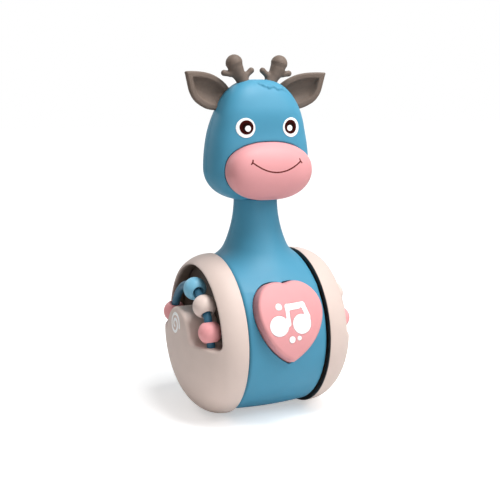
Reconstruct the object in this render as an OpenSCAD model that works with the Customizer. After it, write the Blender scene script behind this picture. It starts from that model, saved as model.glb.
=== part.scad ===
// Roly-poly deer: a weighted body that hangs from an axle between two bead wheels.
// Lengths are in millimetres. +Z is up, the deer faces -Y and the axle runs along X.
// The origin lies on the floor, below the middle of the axle.

/* [Wheels] */
// Diameter of each wheel at its rim
wheel_d = 68; // [67:0.5:70]
// How far each wheel swells outwards from its rim
wheel_bulge = 18.5; // [17.5:0.25:20]
// Wall of the wheel covers
wheel_wall = 2; // [1.6:0.1:2.2]
// Gap between each wheel and the body
wheel_gap = 0.35; // [0.3:0.05:0.6]
// Diameter of the bead window
window_d = 59.6; // [57:0.2:60]
// Diameter of the round boss that the window bends around
boss_d = 25.6; // [24:0.2:26.4]
// Height of the window's sill above the axle
window_sill = 0.5; // [0:0.1:0.8]
// Corner radius of the window
window_corner = 2.5; // [1.5:0.25:3]
// Wall of the boss and of the sill
pocket_wall = 1.8; // [1.4:0.1:2]
// Thickness of the wheel plate
plate_t = 2; // [1.6:0.1:2.2]
// Depth of the wheel plate inside the rim
plate_inset = 1.5; // [1:0.1:1.8]

/* [Beads] */
// Diameter of a bead
bead_d = 9.6; // [9:0.1:9.8]
// Diameter of the hole through a bead
bead_bore_d = 5; // [4.8:0.1:5.2]
// Diameter of the bead rod
rod_d = 3.4; // [3:0.1:3.5]
// Diameter of the ring that the beads slide along
ring_d = 43; // [42:0.2:44]
// Distance of the bead ring outwards from the rim
ring_inset = 11.35; // [11:0.05:11.8]
// Length of the rod's ends below the sill
rod_tail = 4; // [3:0.25:5]

/* [Body] */
// Width of the drum
body_w = 35.6; // [34.6:0.2:37]
// Diameter of the drum at its middle
body_d = 66.6; // [66:0.1:67]
// How much the drum's radius falls towards its ends
body_crown = 0.7; // [0.4:0.1:1]
// Rounding of the drum's end edges
body_edge = 1.5; // [1:0.1:2]
// Wall of the drum and neck
body_wall = 2; // [1.8:0.1:2.2]

/* [Neck] */
// Diameter of the neck under the head
neck_d = 18.4; // [18:0.1:19]
// Height of the neck's shoulder under the head
neck_h = 91; // [90.8:0.1:91.4]
// Radius of the curve along which the neck flares into the drum
neck_flare = 48.5; // [46:0.5:52]
// Radius at which the flare ends inside the drum
neck_foot_r = 22; // [21.5:0.1:22.4]
// Diameter of the collar that the head is clamped round
collar_d = 15.6; // [15:0.1:16]

/* [Head] */
// Width of the head
head_w = 44.4; // [43.4:0.2:45.6]
// Depth of the head in front of the neck's axis
head_front = 14.3; // [14:0.1:14.8]
// Depth of the head behind the neck's axis
head_back = 17; // [16:0.2:18]
// Height of the head's widest level
head_mid = 104; // [103.8:0.1:104.4]
// Rise of the crown above the widest level
head_up = 36; // [35.4:0.1:36.6]
// Drop of the chin below the widest level
head_down = 14; // [13.8:0.1:14.2]
// Wall of the head
head_wall = 2; // [1.8:0.1:2.2]

/* [Muzzle] */
// Width of the muzzle
muzzle_w = 37.2; // [36.6:0.2:37.8]
// Height of the muzzle
muzzle_h = 23.8; // [23.2:0.2:24.4]
// Depth of the muzzle in front of its centre
muzzle_front = 9.6; // [9.2:0.1:10.2]
// Distance of the muzzle's centre in front of the neck's axis
muzzle_y = 11.8; // [11.4:0.1:12.2]
// Height of the muzzle's centre
muzzle_z = 103.1; // [102.7:0.1:103.5]
// Wall of the muzzle
muzzle_wall = 2; // [1.8:0.1:2.2]

/* [Eyes] */
// Diameter of an eye
eye_d = 8.2; // [7.6:0.1:8.6]
// Diameter of a pupil
pupil_d = 5.7; // [5:0.1:6]
// Distance of each eye from the middle of the face
eye_x = 10; // [9.6:0.1:10.4]
// Height of the eyes
eye_z = 120.8; // [120:0.1:121.6]

/* [Ears] */
// Length of an ear from its root to its tip
ear_len = 23.2; // [22:0.2:24]
// Width of an ear
ear_w = 14.2; // [13.4:0.2:15]
// Depth of the dish in an ear
ear_dish = 2.4; // [2:0.1:2.8]
// Thickness of an ear behind its dish
ear_t = 1.8; // [1.4:0.1:2.2]
// Diameter of the peg that holds an ear in the head
ear_peg_d = 2.2; // [2:0.1:2.4]

/* [Antlers] */
// Diameter of an antler's stalk
antler_d = 5; // [4.6:0.1:5.2]
// Diameter of an antler's knob
knob_d = 7; // [6.6:0.1:7.2]
// Diameter of an antler's prongs
prong_d = 2.4; // [2:0.1:2.6]
// Height of the antler tops
top_h = 150; // [149.6:0.1:150.6]

/* [Heart button] */
// Width of the heart
heart_w = 28.2; // [27.6:0.1:28.8]
// Height of the heart
heart_h = 32.6; // [32:0.2:34]
// How far the heart stands proud of the drum
heart_rise = 4.5; // [3.5:0.1:5]
// Tilt of the heart above the horizontal, in degrees
heart_tilt = 18; // [16:0.5:20]
// Wall of the heart cap
heart_wall = 2.2; // [2:0.1:2.4]
// Lip that keeps the heart in the shell
heart_lip = 0.9; // [0.7:0.1:1]
// Travel of the heart button
heart_travel = 1; // [0.6:0.1:1.2]

/* [Axle] */
// Diameter of the axle
axle_d = 4; // [3.6:0.1:4.4]
// Diameter of the wheel hub
hub_d = 10; // [9:0.2:11]
// Length of the wheel hub
hub_len = 9.8; // [9:0.1:10.4]
// Running clearance of a hub on the axle
hub_play = 0.05; // [0.03:0.01:0.08]

/* [Counterweight] */
// Clearance at each end of the counterweight
weight_play = 0.3; // [0.2:0.05:0.5]
// Height of the counterweight
weight_h = 17; // [16:0.1:17.2]

/* [Electronics] */
// Clearance at each side of the circuit board
board_play = 0.5; // [0.4:0.05:0.8]
// Height of the circuit board
board_h = 20; // [18:0.5:21]
// Thickness of the circuit board
board_t = 1.2; // [1:0.1:1.6]
// Depth of the board's inner face below the drum's inner wall
board_depth = 10.6; // [10.2:0.1:11.1]
// Diameter of the speaker
speaker_d = 20; // [19:0.2:20.6]
// Thickness of the speaker
speaker_t = 4.5; // [4:0.1:5]
// Place of the speaker round the axle, in degrees from the front
speaker_turn = 137; // [135:0.5:138]

/* [Battery] */
// Diameter of a button cell
cell_d = 11.6; // [11.4:0.1:11.8]
// Thickness of a button cell
cell_t = 5.4; // [5.2:0.1:5.5]
// Width of the battery door
door_w = 29; // [28.4:0.2:29.4]
// Height of the battery door
door_h = 17; // [16.4:0.2:17.6]
// Place of the battery door round the axle, in degrees from the front
battery_turn = 186; // [185.5:0.5:187]

/* [Screws] */
// Diameter of the screws' threads
screw_d = 2.2; // [2:0.1:2.4]
// Diameter of the screws' heads
screw_head_d = 4.2; // [4:0.1:4.4]
// Thickness of the screws' heads
screw_head_t = 1.5; // [1.3:0.1:1.7]
// Length of the screws under their heads
screw_len = 11; // [10:0.5:12]

/* [Hidden] */
$fn = 64;

// Overrun of every cut
over = 1;
// Clearance between fixed pieces
snug = 0.1;
// Clearance of a thread in its hole
thread_play = 0.05;
// Clearance of loose pieces inside the drum
inner_play = 0.3;

// Wheels
wheel_r = wheel_d / 2;
rim_x = body_w / 2 + wheel_gap;
plate_x = rim_x + plate_inset;
plate_face_x = plate_x + plate_t;
wheel_steps = 18;
wheel_power = 2.4;
wheel_screw_turns = [205, 270, 335];
wheel_screw_inset = 8;
wheel_screw_r = wheel_r - wheel_wall - wheel_screw_inset;
wheel_screw_len = 9;
screw_boss_d = 6;

// Beads
bead_x = rim_x + ring_inset;
ring_r = ring_d / 2;
bead_turn_front_pink = 17;
bead_turn_beige = 47;
bead_turn_blue = 78;
bead_turn_rear_pink = 164;

// Body
body_half = body_w / 2;
body_r = body_d / 2;
body_end_r = body_r - body_crown;
cavity_r = body_end_r - body_wall;
cavity_half = body_half - body_wall;
edge_steps = 5;
crown_steps = 8;

// Neck
neck_r = neck_d / 2;
neck_foot_drop = sqrt(pow(neck_flare, 2) - pow(neck_flare - neck_foot_r + neck_r, 2));
neck_steps = 14;
collar_rise = 2.8;
collar_flange_t = 2;
collar_flange_d = neck_d;

// Head
head_size = [head_w / 2, head_front, head_back, head_up, head_down];
head_inner = [for (length = head_size) length - head_wall];
head_power = [3.1, 2.3, 1.85, 2.8, 2.1, 2.7];
egg_sides = 40;
egg_rings = 18;
pole_turn = 88;
head_screw_x = 12.6;
head_screw_z = 112.4;
head_screw_len = 10;

// Muzzle
muzzle_size = [muzzle_w / 2, muzzle_front, muzzle_front / 2, muzzle_h / 2, muzzle_h / 2];
muzzle_power = [3.3, 2.5, 2.3, 2.25, 1.9, 2.5];
muzzle_gap = 0.15;
muzzle_depth = 2.2;
seat_t = 2;
seat_y = muzzle_depth - muzzle_y + snug;
muzzle_screw_x = 8.5;
muzzle_screw_len = 8;

// Eyes
print_t = 0.2;
print_gap = 0.08;
pupil_in = 0.6;

// Ears, with stations along the ear: length, upper edge and lower edge
ear_root = [13.8, 2.5, 129];
ear_rise = 36.7;
ear_toe = 14;
ear_station_shares = [[0, 0.47, -0.14], [0.12, 0.54, -0.27], [0.26, 0.56, -0.39], [0.42, 0.53, -0.45],
    [0.57, 0.46, -0.45], [0.72, 0.34, -0.36], [0.86, 0.19, -0.19], [0.95, 0.08, -0.07], [1, 0.03, -0.02]];
ear_rows = 8;
ear_gap = 0.1;
ear_peg_len = 4.4;
ear_peg_out = 4;
ear_peg_y = 2;
ear_peg_z = 1.6;
ear_flange_t = 1.6;

// Antlers, with points in the plane of the pair
antler_y = -1.4;
antler_foot = [3.7, 135.2];
antler_bend = [8.4, 142.6];
antler_knob = [10.2, top_h - knob_d / 2];
outer_prong = [15, 142.4];
inner_prong = [2.5, 143.6];
inner_fork = [6.9, 140.4];
joint_swell = 0.05;
antler_flange_t = 1;
antler_root = antler_foot + antler_flange_t * (antler_bend - antler_foot) / norm(antler_bend - antler_foot);

// Heart button
heart_r = body_r + heart_rise;
heart_gap = 0.35;
heart_lobe_mid_shares = [0.29, 0.26];
heart_lobe_size_shares = [0.71, 0.74];
heart_pull_shares = [0.795, -0.64];
heart_lobe_end = -15;
heart_steps = 12;
lip_out_r = cavity_r - inner_play;
lip_t = 1.6;
cap_r = heart_r - heart_wall;
lens_t = 1.4;
lens_rise = 0.1;
lens_gap = 0.05;
note_head_d = 8;
note_heads = [[-6.2, -1.6], [3.7, -1.6]];
note_stem_w = 1.6;
note_beam_h = 3;
note_beam_top = 7;
note_round = 0.5;
note_dots = [[-5.5, 6, 2.9], [-1.1, -7.8, 2.7], [2.1, -7.4, 1.9]];

// Axle
axle_r = axle_d / 2;
hub_gap = 0.4;
hub_start_x = body_half + hub_gap;
hub_end_x = hub_start_x + hub_len;
washer_play = 0.2;
axle_end_x = hub_end_x + washer_play;
washer_d = 8;
washer_t = 0.8;
end_screw_len = 6;
axle_boss_d = 10;
axle_boss_len = 7;

// Counterweight
weight_r = cavity_r - inner_play;
weight_w = 2 * (cavity_half - weight_play);
weight_top_z = wheel_r - weight_r + weight_h;
weight_trim = 7.8;
weight_back = weight_r - weight_trim;

// Body screws: places across and up
body_screw_x = 9;
body_screw_inset = 8.6;
neck_screw_drop = 12;
body_screw_low_z = wheel_r - cavity_r + body_screw_inset;
body_screw_places = [[-body_screw_x, body_screw_low_z], [body_screw_x, body_screw_low_z],
    [0, neck_h - neck_screw_drop]];
screw_seat_y = 4;
well_play = 0.3;
well_wall = 1.2;
well_d = screw_head_d + 2 * well_play;
tube_d = well_d + 2 * well_wall;

// Electronics
board_w = 2 * (cavity_half - board_play);
board_out = cavity_r - board_depth;
rail_w = 2;
rail_t = 1.6;
chip_d = 9;
chip_t = 1.2;
lamp_d = 3;
lamp_h = 3.4;
lamp_place = [-5.6, -1.2];
switch_w = 6;
switch_h = 3.8;
plunger_d = 3.4;
plunger_play = 0.05;
plunger_rest = 0.8;
plunger_spare = 0.4;
plunger_depth = plunger_rest + heart_travel + plunger_spare;
plunger_h = 2;
post_gap = 0.1;
board_face = board_out + board_t;
plunger_base = board_face + switch_h - plunger_rest;
plunger_top = plunger_base + plunger_h;
speaker_depth = 2.6;
speaker_front = cavity_r - speaker_depth;
speaker_ring_t = 1.4;
speaker_cone_d = 15;
speaker_magnet_d = 11;
speaker_magnet_t = 2;
cone_depth = 0.8;
speaker_back = speaker_front - speaker_t;
grille_d = 1.6;
grille_rings = [[1, 0], [6, 3.2], [12, 6.4]];
wire_d = 1.4;
wire_sides = 8;
wire_lead = 3;
speaker_pad = [11, 6];
speaker_lug = [3, 0];
battery_pad = [11, -6];
battery_lug = [6, 0];
speaker_route = [[10.5, -6, 12.5], [8, 5, 12.5]];
battery_route = [[11, -10, -7], [10, 0, -8.5], [8, 7, -6.5]];

// Battery
cell_count = 3;
cell_depth = 7.2;
cell_out = cavity_r - cell_depth;
tray_wall = 1.2;
tray_play = 0.4;
contact_t = 0.5;
contact_w = 9;
cell_gap = 0.05;
cell_stack = cell_count * cell_t + (cell_count - 1) * cell_gap;
tray_room = [cell_stack + 2 * contact_t + 6 * cell_gap, cell_d + tray_play, cell_d + tray_play];
tray_base = cell_out - tray_room[2] / 2 - tray_wall;
door_t = 1.6;
door_gap = 0.15;
door_in_r = body_end_r - door_t;
ledge_t = 1.4;
door_screw_inset = 2.3;
door_screw_x = door_w / 2 - door_screw_inset;
door_screw_len = 6;
door_seat_t = 0.6;

// Shapes shared by several pieces

module on_axle() translate([0, 0, wheel_r]) children();

module along_x() rotate([0, 90, 0]) children();

module across_x() rotate([90, 0, 90]) children();

module left() mirror([1, 0, 0]) children();

// Stands its children on the axle, pointing outwards at a turn from the front
module radial(turn) on_axle() rotate([-turn, 0, 0]) rotate([90, 0, 0]) children();

// Point at a turn from the front: across, along the turn and out from the axle
function radial_point(turn, x, along, out) =
    [x, along * sin(turn) - out * cos(turn), wheel_r + along * cos(turn) + out * sin(turn)];

module half_space(y_sign, reach) {
    translate([-reach, y_sign > 0 ? 0 : -2 * reach, -reach])
        cube([2 * reach, 2 * reach, 2 * reach + top_h]);
}

function loft_faces(rings, sides) = concat(
    [[for (j = [0 : sides - 1]) j]],
    [for (i = [0 : rings - 2], j = [0 : sides - 1])
        let (k = (j + 1) % sides) [i * sides + j, (i + 1) * sides + j, (i + 1) * sides + k]],
    [for (i = [0 : rings - 2], j = [0 : sides - 1])
        let (k = (j + 1) % sides) [i * sides + j, (i + 1) * sides + k, i * sides + k]],
    [[for (j = [sides - 1 : -1 : 0]) (rings - 1) * sides + j]]);

module loft(rings) {
    polyhedron(points = [for (ring = rings) each ring],
        faces = loft_faces(len(rings), len(rings[0])), convexity = 6);
}

function bent(value, power) = sign(value) * pow(abs(value), 2 / power);

// Egg-like shell: size is half width, front, back, up and down; power rounds each
function egg_point(size, power, tall, turn) =
    let (spread = pow(cos(tall), 2 / (tall < 0 ? power[5] : power[3])))
    let (level = tall < 0 ? -size[4] * bent(-sin(tall), power[4]) : size[3] * bent(sin(tall), power[2]))
    let (front = sin(turn) < 0)
    [size[0] * spread * bent(cos(turn), power[front ? 0 : 1]),
        size[front ? 1 : 2] * spread * bent(sin(turn), power[front ? 0 : 1]), level];

module egg(size, power) {
    loft([for (i = [0 : egg_rings])
        let (tall = pole_turn * (2 * i / egg_rings - 1))
        [for (j = [0 : egg_sides - 1]) egg_point(size, power, tall, 360 * j / egg_sides)]]);
}

module head_form(size) translate([0, 0, head_mid]) egg(size, head_power);

module muzzle_form(grow) translate([0, -muzzle_y, muzzle_z])
    egg([for (length = muzzle_size) length + grow], muzzle_power);

// Front of the face at a place across and up
function face_y(x, z) =
    let (spread = pow(1 - pow((z - head_mid) / head_up, head_power[2]), 1 / head_power[3]))
    -head_front * spread * pow(1 - pow(abs(x) / (head_size[0] * spread), head_power[0]), 1 / head_power[0]);

function unit(v) = v / norm(v);

function tube_ring(place, ahead, radius) =
    let (side = unit(cross(ahead, [1, 0, 0])))
    let (other = cross(ahead, side))
    [for (j = [0 : wire_sides - 1])
        place + radius * (cos(360 * j / wire_sides) * side + sin(360 * j / wire_sides) * other)];

module tube(route, radius) {
    last = len(route) - 1;
    loft([for (i = [0 : last])
        tube_ring(route[i], unit(route[min(i + 1, last)] - route[max(i - 1, 0)]), radius)]);
}

module screw(length) {
    cylinder(d = screw_d, h = length);
    translate([0, 0, length]) cylinder(d = screw_head_d, h = screw_head_t);
}

// Screws that clamp a rear shell to a front shell, seen from behind
module shell_screw(place, length) translate([place[0], screw_seat_y, place[1]]) rotate([-90, 0, 0])
    translate([0, 0, -length]) screw(length);

module shell_post(place, reach) translate([place[0], -reach, place[1]]) rotate([-90, 0, 0])
    cylinder(d = tube_d, h = 2 * reach);

module shell_screw_hole(place, reach, length) translate([place[0], 0, place[1]]) rotate([-90, 0, 0]) {
    translate([0, 0, screw_seat_y - length - over])
        cylinder(d = screw_d + 2 * thread_play, h = length + over);
    translate([0, 0, screw_seat_y]) cylinder(d = well_d, h = reach);
}

// Wheels

function dome_points(radius, depth, start) = concat([[0, start], [radius, start]],
    [for (i = [0 : wheel_steps]) let (turn = 90 * i / wheel_steps)
        [radius * bent(cos(turn), wheel_power), rim_x + depth * bent(sin(turn), wheel_power)]]);

module wheel_dome(radius, depth, start) {
    points = dome_points(radius, depth, start);
    on_axle() along_x() rotate_extrude()
        polygon(start == rim_x ? [for (i = [0 : len(points) - 1]) if (i != 1) points[i]] : points);
}

module window_outline() {
    offset(r = window_corner) offset(delta = -window_corner) difference() {
        circle(d = window_d);
        circle(d = boss_d);
        translate([-wheel_r, -wheel_d + window_sill]) square(wheel_d);
    }
}

module wheel_screw_places() {
    for (turn = wheel_screw_turns)
        on_axle() rotate([turn, 0, 0]) translate([0, wheel_screw_r, 0]) along_x() children();
}

module wheel_hollow() {
    difference() {
        intersection() {
            wheel_dome(wheel_r - wheel_wall, wheel_bulge - wheel_wall, plate_face_x - over);
            on_axle() across_x() translate([0, 0, plate_face_x - over])
                linear_extrude(wheel_bulge + over) union() {
                    circle(d = boss_d - 2 * pocket_wall);
                    translate([-wheel_r, -wheel_d + window_sill - pocket_wall]) square(wheel_d);
                }
        }
        wheel_screw_places() cylinder(d = screw_boss_d, h = rim_x + wheel_bulge);
    }
}

module rod_path() {
    on_axle() translate([bead_x, 0, 0]) {
        across_x() rotate_extrude(angle = 180) translate([ring_r, 0]) circle(d = rod_d);
        for (side = [-1, 1])
            translate([0, side * ring_r, -rod_tail]) cylinder(d = rod_d, h = rod_tail);
    }
}

module wheel_cover() {
    color([0.9, 0.82, 0.78]) difference() {
        wheel_dome(wheel_r, wheel_bulge, rim_x);
        on_axle() along_x() translate([0, 0, rim_x - over])
            cylinder(r = wheel_r - wheel_wall, h = plate_face_x - rim_x + over);
        wheel_hollow();
        on_axle() across_x() translate([0, 0, plate_face_x - over])
            linear_extrude(wheel_bulge + over) window_outline();
        for (side = [-1, 1])
            on_axle() translate([bead_x, side * ring_r, -rod_tail])
                cylinder(d = rod_d + 2 * thread_play, h = rod_tail + window_sill + over);
        wheel_screw_places() translate([0, 0, plate_face_x - over])
            cylinder(d = screw_d + 2 * thread_play, h = wheel_screw_len);
    }
}

module wheel_plate() {
    color([0.35, 0.3, 0.27]) difference() {
        on_axle() along_x() {
            translate([0, 0, plate_x]) cylinder(r = wheel_r - wheel_wall - snug, h = plate_t);
            translate([0, 0, hub_start_x]) cylinder(d = hub_d, h = hub_len);
        }
        on_axle() along_x() cylinder(r = axle_r + hub_play, h = hub_end_x + over);
        wheel_screw_places() {
            cylinder(d = screw_d + 2 * snug, h = plate_face_x + over);
            cylinder(d = screw_head_d + 2 * snug, h = plate_x + screw_head_t / 2);
        }
    }
}

module bead_rod() color([0.35, 0.5, 0.6]) rod_path();

module wheel_screws() {
    color("silver") wheel_screw_places()
        translate([0, 0, plate_x - screw_head_t / 2]) {
            cylinder(d = screw_head_d, h = screw_head_t);
            cylinder(d = screw_d, h = wheel_screw_len);
        }
}

module bead(turn) {
    on_axle() rotate([-turn, 0, 0]) translate([bead_x, -ring_r, 0]) difference() {
        sphere(d = bead_d);
        cylinder(d = bead_bore_d, h = 2 * bead_d, center = true);
    }
}

module bead_front_pink() color([0.92, 0.56, 0.6]) bead(bead_turn_front_pink);

module bead_beige() color([0.85, 0.76, 0.71]) bead(bead_turn_beige);

module bead_blue() color([0.36, 0.6, 0.78]) bead(bead_turn_blue);

module bead_rear_pink() color([0.92, 0.56, 0.6]) bead(bead_turn_rear_pink);

// Body

function edge_arc(from_turn) = [for (i = [0 : edge_steps])
    let (turn = from_turn + 90 * i / edge_steps)
    [body_end_r - body_edge + body_edge * sin(turn), (body_half - body_edge) * (from_turn > 0 ? 1 : -1)
        - body_edge * cos(turn)]];

function drum_points() = let (reach = body_half - body_edge) concat(
    [[0, -body_half]], edge_arc(0),
    [for (i = [1 : crown_steps - 1]) let (share = 2 * i / crown_steps - 1)
        [body_end_r + body_crown * (1 - pow(share, 2)), share * reach]],
    edge_arc(90), [[0, body_half]]);

function flare_points(inset) = [for (i = [0 : neck_steps])
    let (drop = neck_foot_drop * i / neck_steps)
    [neck_r - inset + neck_flare - sqrt(pow(neck_flare, 2) - pow(drop, 2)), neck_h - drop]];

// Neck with its flare, no wider along the axle than the drum that it stands in
module neck_form(inset, half, base_z) {
    points = flare_points(inset);
    intersection() {
        rotate_extrude()
            polygon(concat([[0, base_z], [0, neck_h]], points, [[points[neck_steps][0], base_z]]));
        translate([-half, -neck_flare, 0]) cube([2 * half, 2 * neck_flare, top_h]);
    }
}

// Collar with a flange that is cut flat behind the muzzle's seat
module collar() {
    translate([0, 0, neck_h - over]) cylinder(d = collar_d, h = collar_rise + over);
    translate([0, 0, neck_h + collar_rise]) intersection() {
        cylinder(d = collar_flange_d, h = collar_flange_t);
        translate([-neck_d, seat_y + seat_t + inner_play, 0])
            cube([2 * neck_d, 2 * neck_d, collar_flange_t]);
    }
}

module body_outside() {
    on_axle() along_x() rotate_extrude() polygon(drum_points());
    neck_form(0, cavity_half + body_wall / 2, wheel_r);
    collar();
}

module body_inside() {
    on_axle() along_x() cylinder(r = cavity_r, h = 2 * cavity_half, center = true);
    neck_form(body_wall, cavity_half, wheel_r + over);
    translate([0, 0, neck_h - over])
        cylinder(d = collar_d - 2 * body_wall, h = collar_rise + collar_flange_t + 2 * over);
}

module axle_bosses() {
    for (side = [-1, 1])
        on_axle() along_x() translate([0, 0, side * (cavity_half - axle_boss_len / 2 + over / 2)])
            cylinder(d = axle_boss_d, h = axle_boss_len + over, center = true);
}

module axle_hole() {
    on_axle() along_x() cylinder(r = axle_r + thread_play, h = body_w + 2 * over, center = true);
}

module board_rails() {
    room = [rail_w + 2 * over + cavity_half - board_w / 2, board_h + 2 * snug, board_t + 2 * snug];
    radial(heart_tilt) for (side = [-1, 1])
        translate([side * (cavity_half - rail_w / 2 + over / 2), 0, board_out + board_t / 2]) difference() {
            cube([rail_w + over, board_h + 2 * rail_t, board_t + 2 * rail_t], center = true);
            translate([-side * over, 0, 0]) cube(room, center = true);
        }
}

module body_front_shell() {
    color([0.29, 0.55, 0.69]) difference() {
        body_outside();
        difference() {
            body_inside();
            axle_bosses();
            board_rails();
            for (place = body_screw_places) shell_post(place, body_r);
        }
        half_space(1, top_h);
        axle_hole();
        for (place = body_screw_places) shell_screw_hole(place, body_d, screw_len);
        radial(heart_tilt) translate([0, 0, board_out + board_t + rail_t + over])
            linear_extrude(body_r) heart_outline(heart_gap);
    }
}

module speaker_seat() {
    radial(speaker_turn) translate([0, 0, speaker_back]) difference() {
        cylinder(d = speaker_d + 2 * snug + 2 * speaker_ring_t, h = body_r);
        translate([0, 0, -over]) cylinder(d = speaker_d + 2 * snug, h = speaker_t + over);
        translate([0, 0, -over]) cylinder(d = speaker_d - 2 * speaker_ring_t, h = body_d);
    }
}

module speaker_grille() {
    radial(speaker_turn) for (ring = grille_rings, i = [1 : ring[0]])
        rotate([0, 0, 360 * i / ring[0]]) translate([ring[1], 0, speaker_front])
            cylinder(d = grille_d, h = body_r - speaker_front + over, $fn = 24);
}

module door_block(grow) {
    radial(battery_turn) linear_extrude(body_d)
        square([door_w + 2 * grow, door_h + 2 * grow], center = true);
}

module drum_core(radius) on_axle() along_x() cylinder(r = radius, h = body_w + 2 * over, center = true);

module door_screw_places() radial(battery_turn) for (side = [-1, 1])
    translate([side * door_screw_x, 0, 0]) children();

// Walls round the cells, a ledge under the door and two bosses for its screws
module battery_tray() {
    box = [for (length = tray_room) length + 2 * tray_wall];
    radial(battery_turn) translate([-box[0] / 2, -box[1] / 2, cell_out - box[2] / 2])
        cube([box[0], box[1], body_r]);
    difference() {
        radial(battery_turn) linear_extrude(body_d)
            square([body_w, door_h + 2 * tray_wall], center = true);
        drum_core(door_in_r - ledge_t);
    }
    door_screw_places() translate([0, 0, door_in_r - door_screw_len - ledge_t])
        cylinder(d = screw_boss_d, h = body_r);
}

module battery_room() {
    radial(battery_turn) translate([-tray_room[0] / 2, -tray_room[1] / 2, cell_out - tray_room[2] / 2])
        cube([tray_room[0], tray_room[1], body_r]);
    difference() {
        door_block(door_gap);
        drum_core(door_in_r);
    }
    door_screw_places() translate([0, 0, door_in_r - door_screw_len])
        cylinder(d = screw_d + 2 * thread_play, h = body_r);
}

module body_rear_shell() {
    color([0.29, 0.55, 0.69]) difference() {
        body_outside();
        difference() {
            body_inside();
            axle_bosses();
            speaker_seat();
            battery_tray();
            for (place = body_screw_places) shell_post(place, body_r);
        }
        half_space(-1, top_h);
        axle_hole();
        for (place = body_screw_places) shell_screw_hole(place, body_d, screw_len);
        speaker_grille();
        battery_room();
    }
}

// Head

module head_hollow() {
    difference() {
        head_form(head_inner);
        cylinder(d = collar_flange_d + 2 * head_wall, h = neck_h + collar_rise - snug);
        for (side = [-1, 1]) shell_post([side * head_screw_x, head_screw_z], head_w);
    }
}

module neck_hole() {
    cylinder(d = collar_d + 2 * snug, h = neck_h + collar_rise + over);
    cylinder(d = neck_d + 2 * snug, h = neck_h + snug);
}

module head_holes() {
    neck_hole();
    for (side = [-1, 1]) shell_screw_hole([side * head_screw_x, head_screw_z], head_w, head_screw_len);
    for (side = [0, 1]) mirror([side, 0, 0]) {
        ear_frame() ear_peg(snug);
        antler_stalk(snug);
    }
}

module head_front_shell() {
    color([0.29, 0.55, 0.69]) difference() {
        head_form(head_size);
        difference() {
            head_hollow();
            translate([-head_w / 2, seat_y, muzzle_z - muzzle_h / 2]) cube([head_w, seat_t, muzzle_h]);
        }
        half_space(1, head_w);
        difference() {
            muzzle_form(muzzle_gap);
            translate([-head_w, seat_y, 0]) cube([2 * head_w, head_w, top_h]);
        }
        muzzle_screw_places() cylinder(d = screw_d + 2 * snug, h = muzzle_screw_len);
        head_holes();
    }
}

module head_rear_shell() {
    color([0.29, 0.55, 0.69]) difference() {
        head_form(head_size);
        head_hollow();
        half_space(-1, head_w);
        head_holes();
    }
}

// Muzzle screws point forwards, with their heads behind the seat
module muzzle_screw_places() {
    for (side = [-1, 1])
        translate([side * muzzle_screw_x, seat_y + seat_t, muzzle_z]) rotate([90, 0, 0]) children();
}

module muzzle() {
    color([0.93, 0.63, 0.65]) difference() {
        muzzle_form(0);
        difference() {
            muzzle_form(-muzzle_wall);
            muzzle_screw_places() cylinder(d = screw_boss_d, h = muzzle_w);
        }
        translate([-head_w, seat_y - snug, 0]) cube([2 * head_w, head_w, top_h]);
        neck_hole();
        muzzle_screw_places() cylinder(d = screw_d + 2 * thread_play, h = muzzle_screw_len + thread_play);
    }
}

module muzzle_screws() {
    color("silver") muzzle_screw_places() {
        cylinder(d = screw_d, h = muzzle_screw_len);
        translate([0, 0, -screw_head_t]) cylinder(d = screw_head_d, h = screw_head_t);
    }
}

module head_screws() {
    color("silver") for (side = [-1, 1])
        shell_screw([side * head_screw_x, head_screw_z], head_screw_len);
}

// Eyes: thin round plates that follow the face

function eye_ring(place, radius, lift) = [for (j = [0 : egg_sides - 1])
    let (x = place[0] + radius * cos(360 * j / egg_sides), z = place[1] + radius * sin(360 * j / egg_sides))
    [x, face_y(x, z) - lift, z]];

module face_plate(place, diameter, lift) {
    inner = diameter / egg_sides;
    loft([eye_ring(place, inner, lift), eye_ring(place, diameter / 4, lift),
        eye_ring(place, diameter / 2, lift), eye_ring(place, diameter / 2, lift + print_t),
        eye_ring(place, diameter / 4, lift + print_t), eye_ring(place, inner, lift + print_t)]);
}

module eye() color("white") face_plate([eye_x, eye_z], eye_d, print_gap);

module pupil() color([0.12, 0.06, 0.05])
    face_plate([eye_x - pupil_in, eye_z], pupil_d, print_t + 2 * print_gap);

// Ears: a dished leaf with a peg, along +X of its own frame before it is turned

module ear_frame() translate(ear_root) rotate([0, -ear_rise, -ear_toe]) children();

function ear_ring(station) =
    let (x = station[0] * ear_len, upper = station[1] * ear_w, lower = station[2] * ear_w)
    let (fullness = (upper - lower) / ear_w)
    concat(
        [for (i = [0 : ear_rows]) let (across = 2 * i / ear_rows - 1)
            [x, ear_dish * fullness * (1 - pow(across, 2)) - ear_dish / 2,
                (upper + lower) / 2 - across * (upper - lower) / 2]],
        [for (i = [1 : ear_rows - 1]) let (across = 1 - 2 * i / ear_rows)
            [x, (ear_dish + ear_t) * fullness * (1 - pow(across, 2)) - ear_dish / 2
                + ear_t * fullness / 2 * sqrt(1 - pow(across, 2)),
                (upper + lower) / 2 - across * (upper - lower) / 2]]);

module ear_peg(grow) {
    translate([-ear_peg_len, ear_peg_y, ear_peg_z]) along_x()
        cylinder(d = ear_peg_d + 2 * grow, h = ear_peg_len + ear_peg_out);
}

module ear() {
    color([0.42, 0.36, 0.34]) {
        difference() {
            ear_frame() loft([for (station = ear_station_shares) ear_ring(station)]);
            head_form([for (length = head_size) length + ear_gap]);
        }
        ear_frame() {
            ear_peg(0);
            translate([-ear_peg_len, ear_peg_y, ear_peg_z]) along_x()
                cylinder(d = 2 * ear_peg_d, h = ear_flange_t);
        }
    }
}

// Antlers: a bent stalk with a knob and two prongs

function antler_point(place) = [place[0], antler_y, place[1]];

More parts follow.
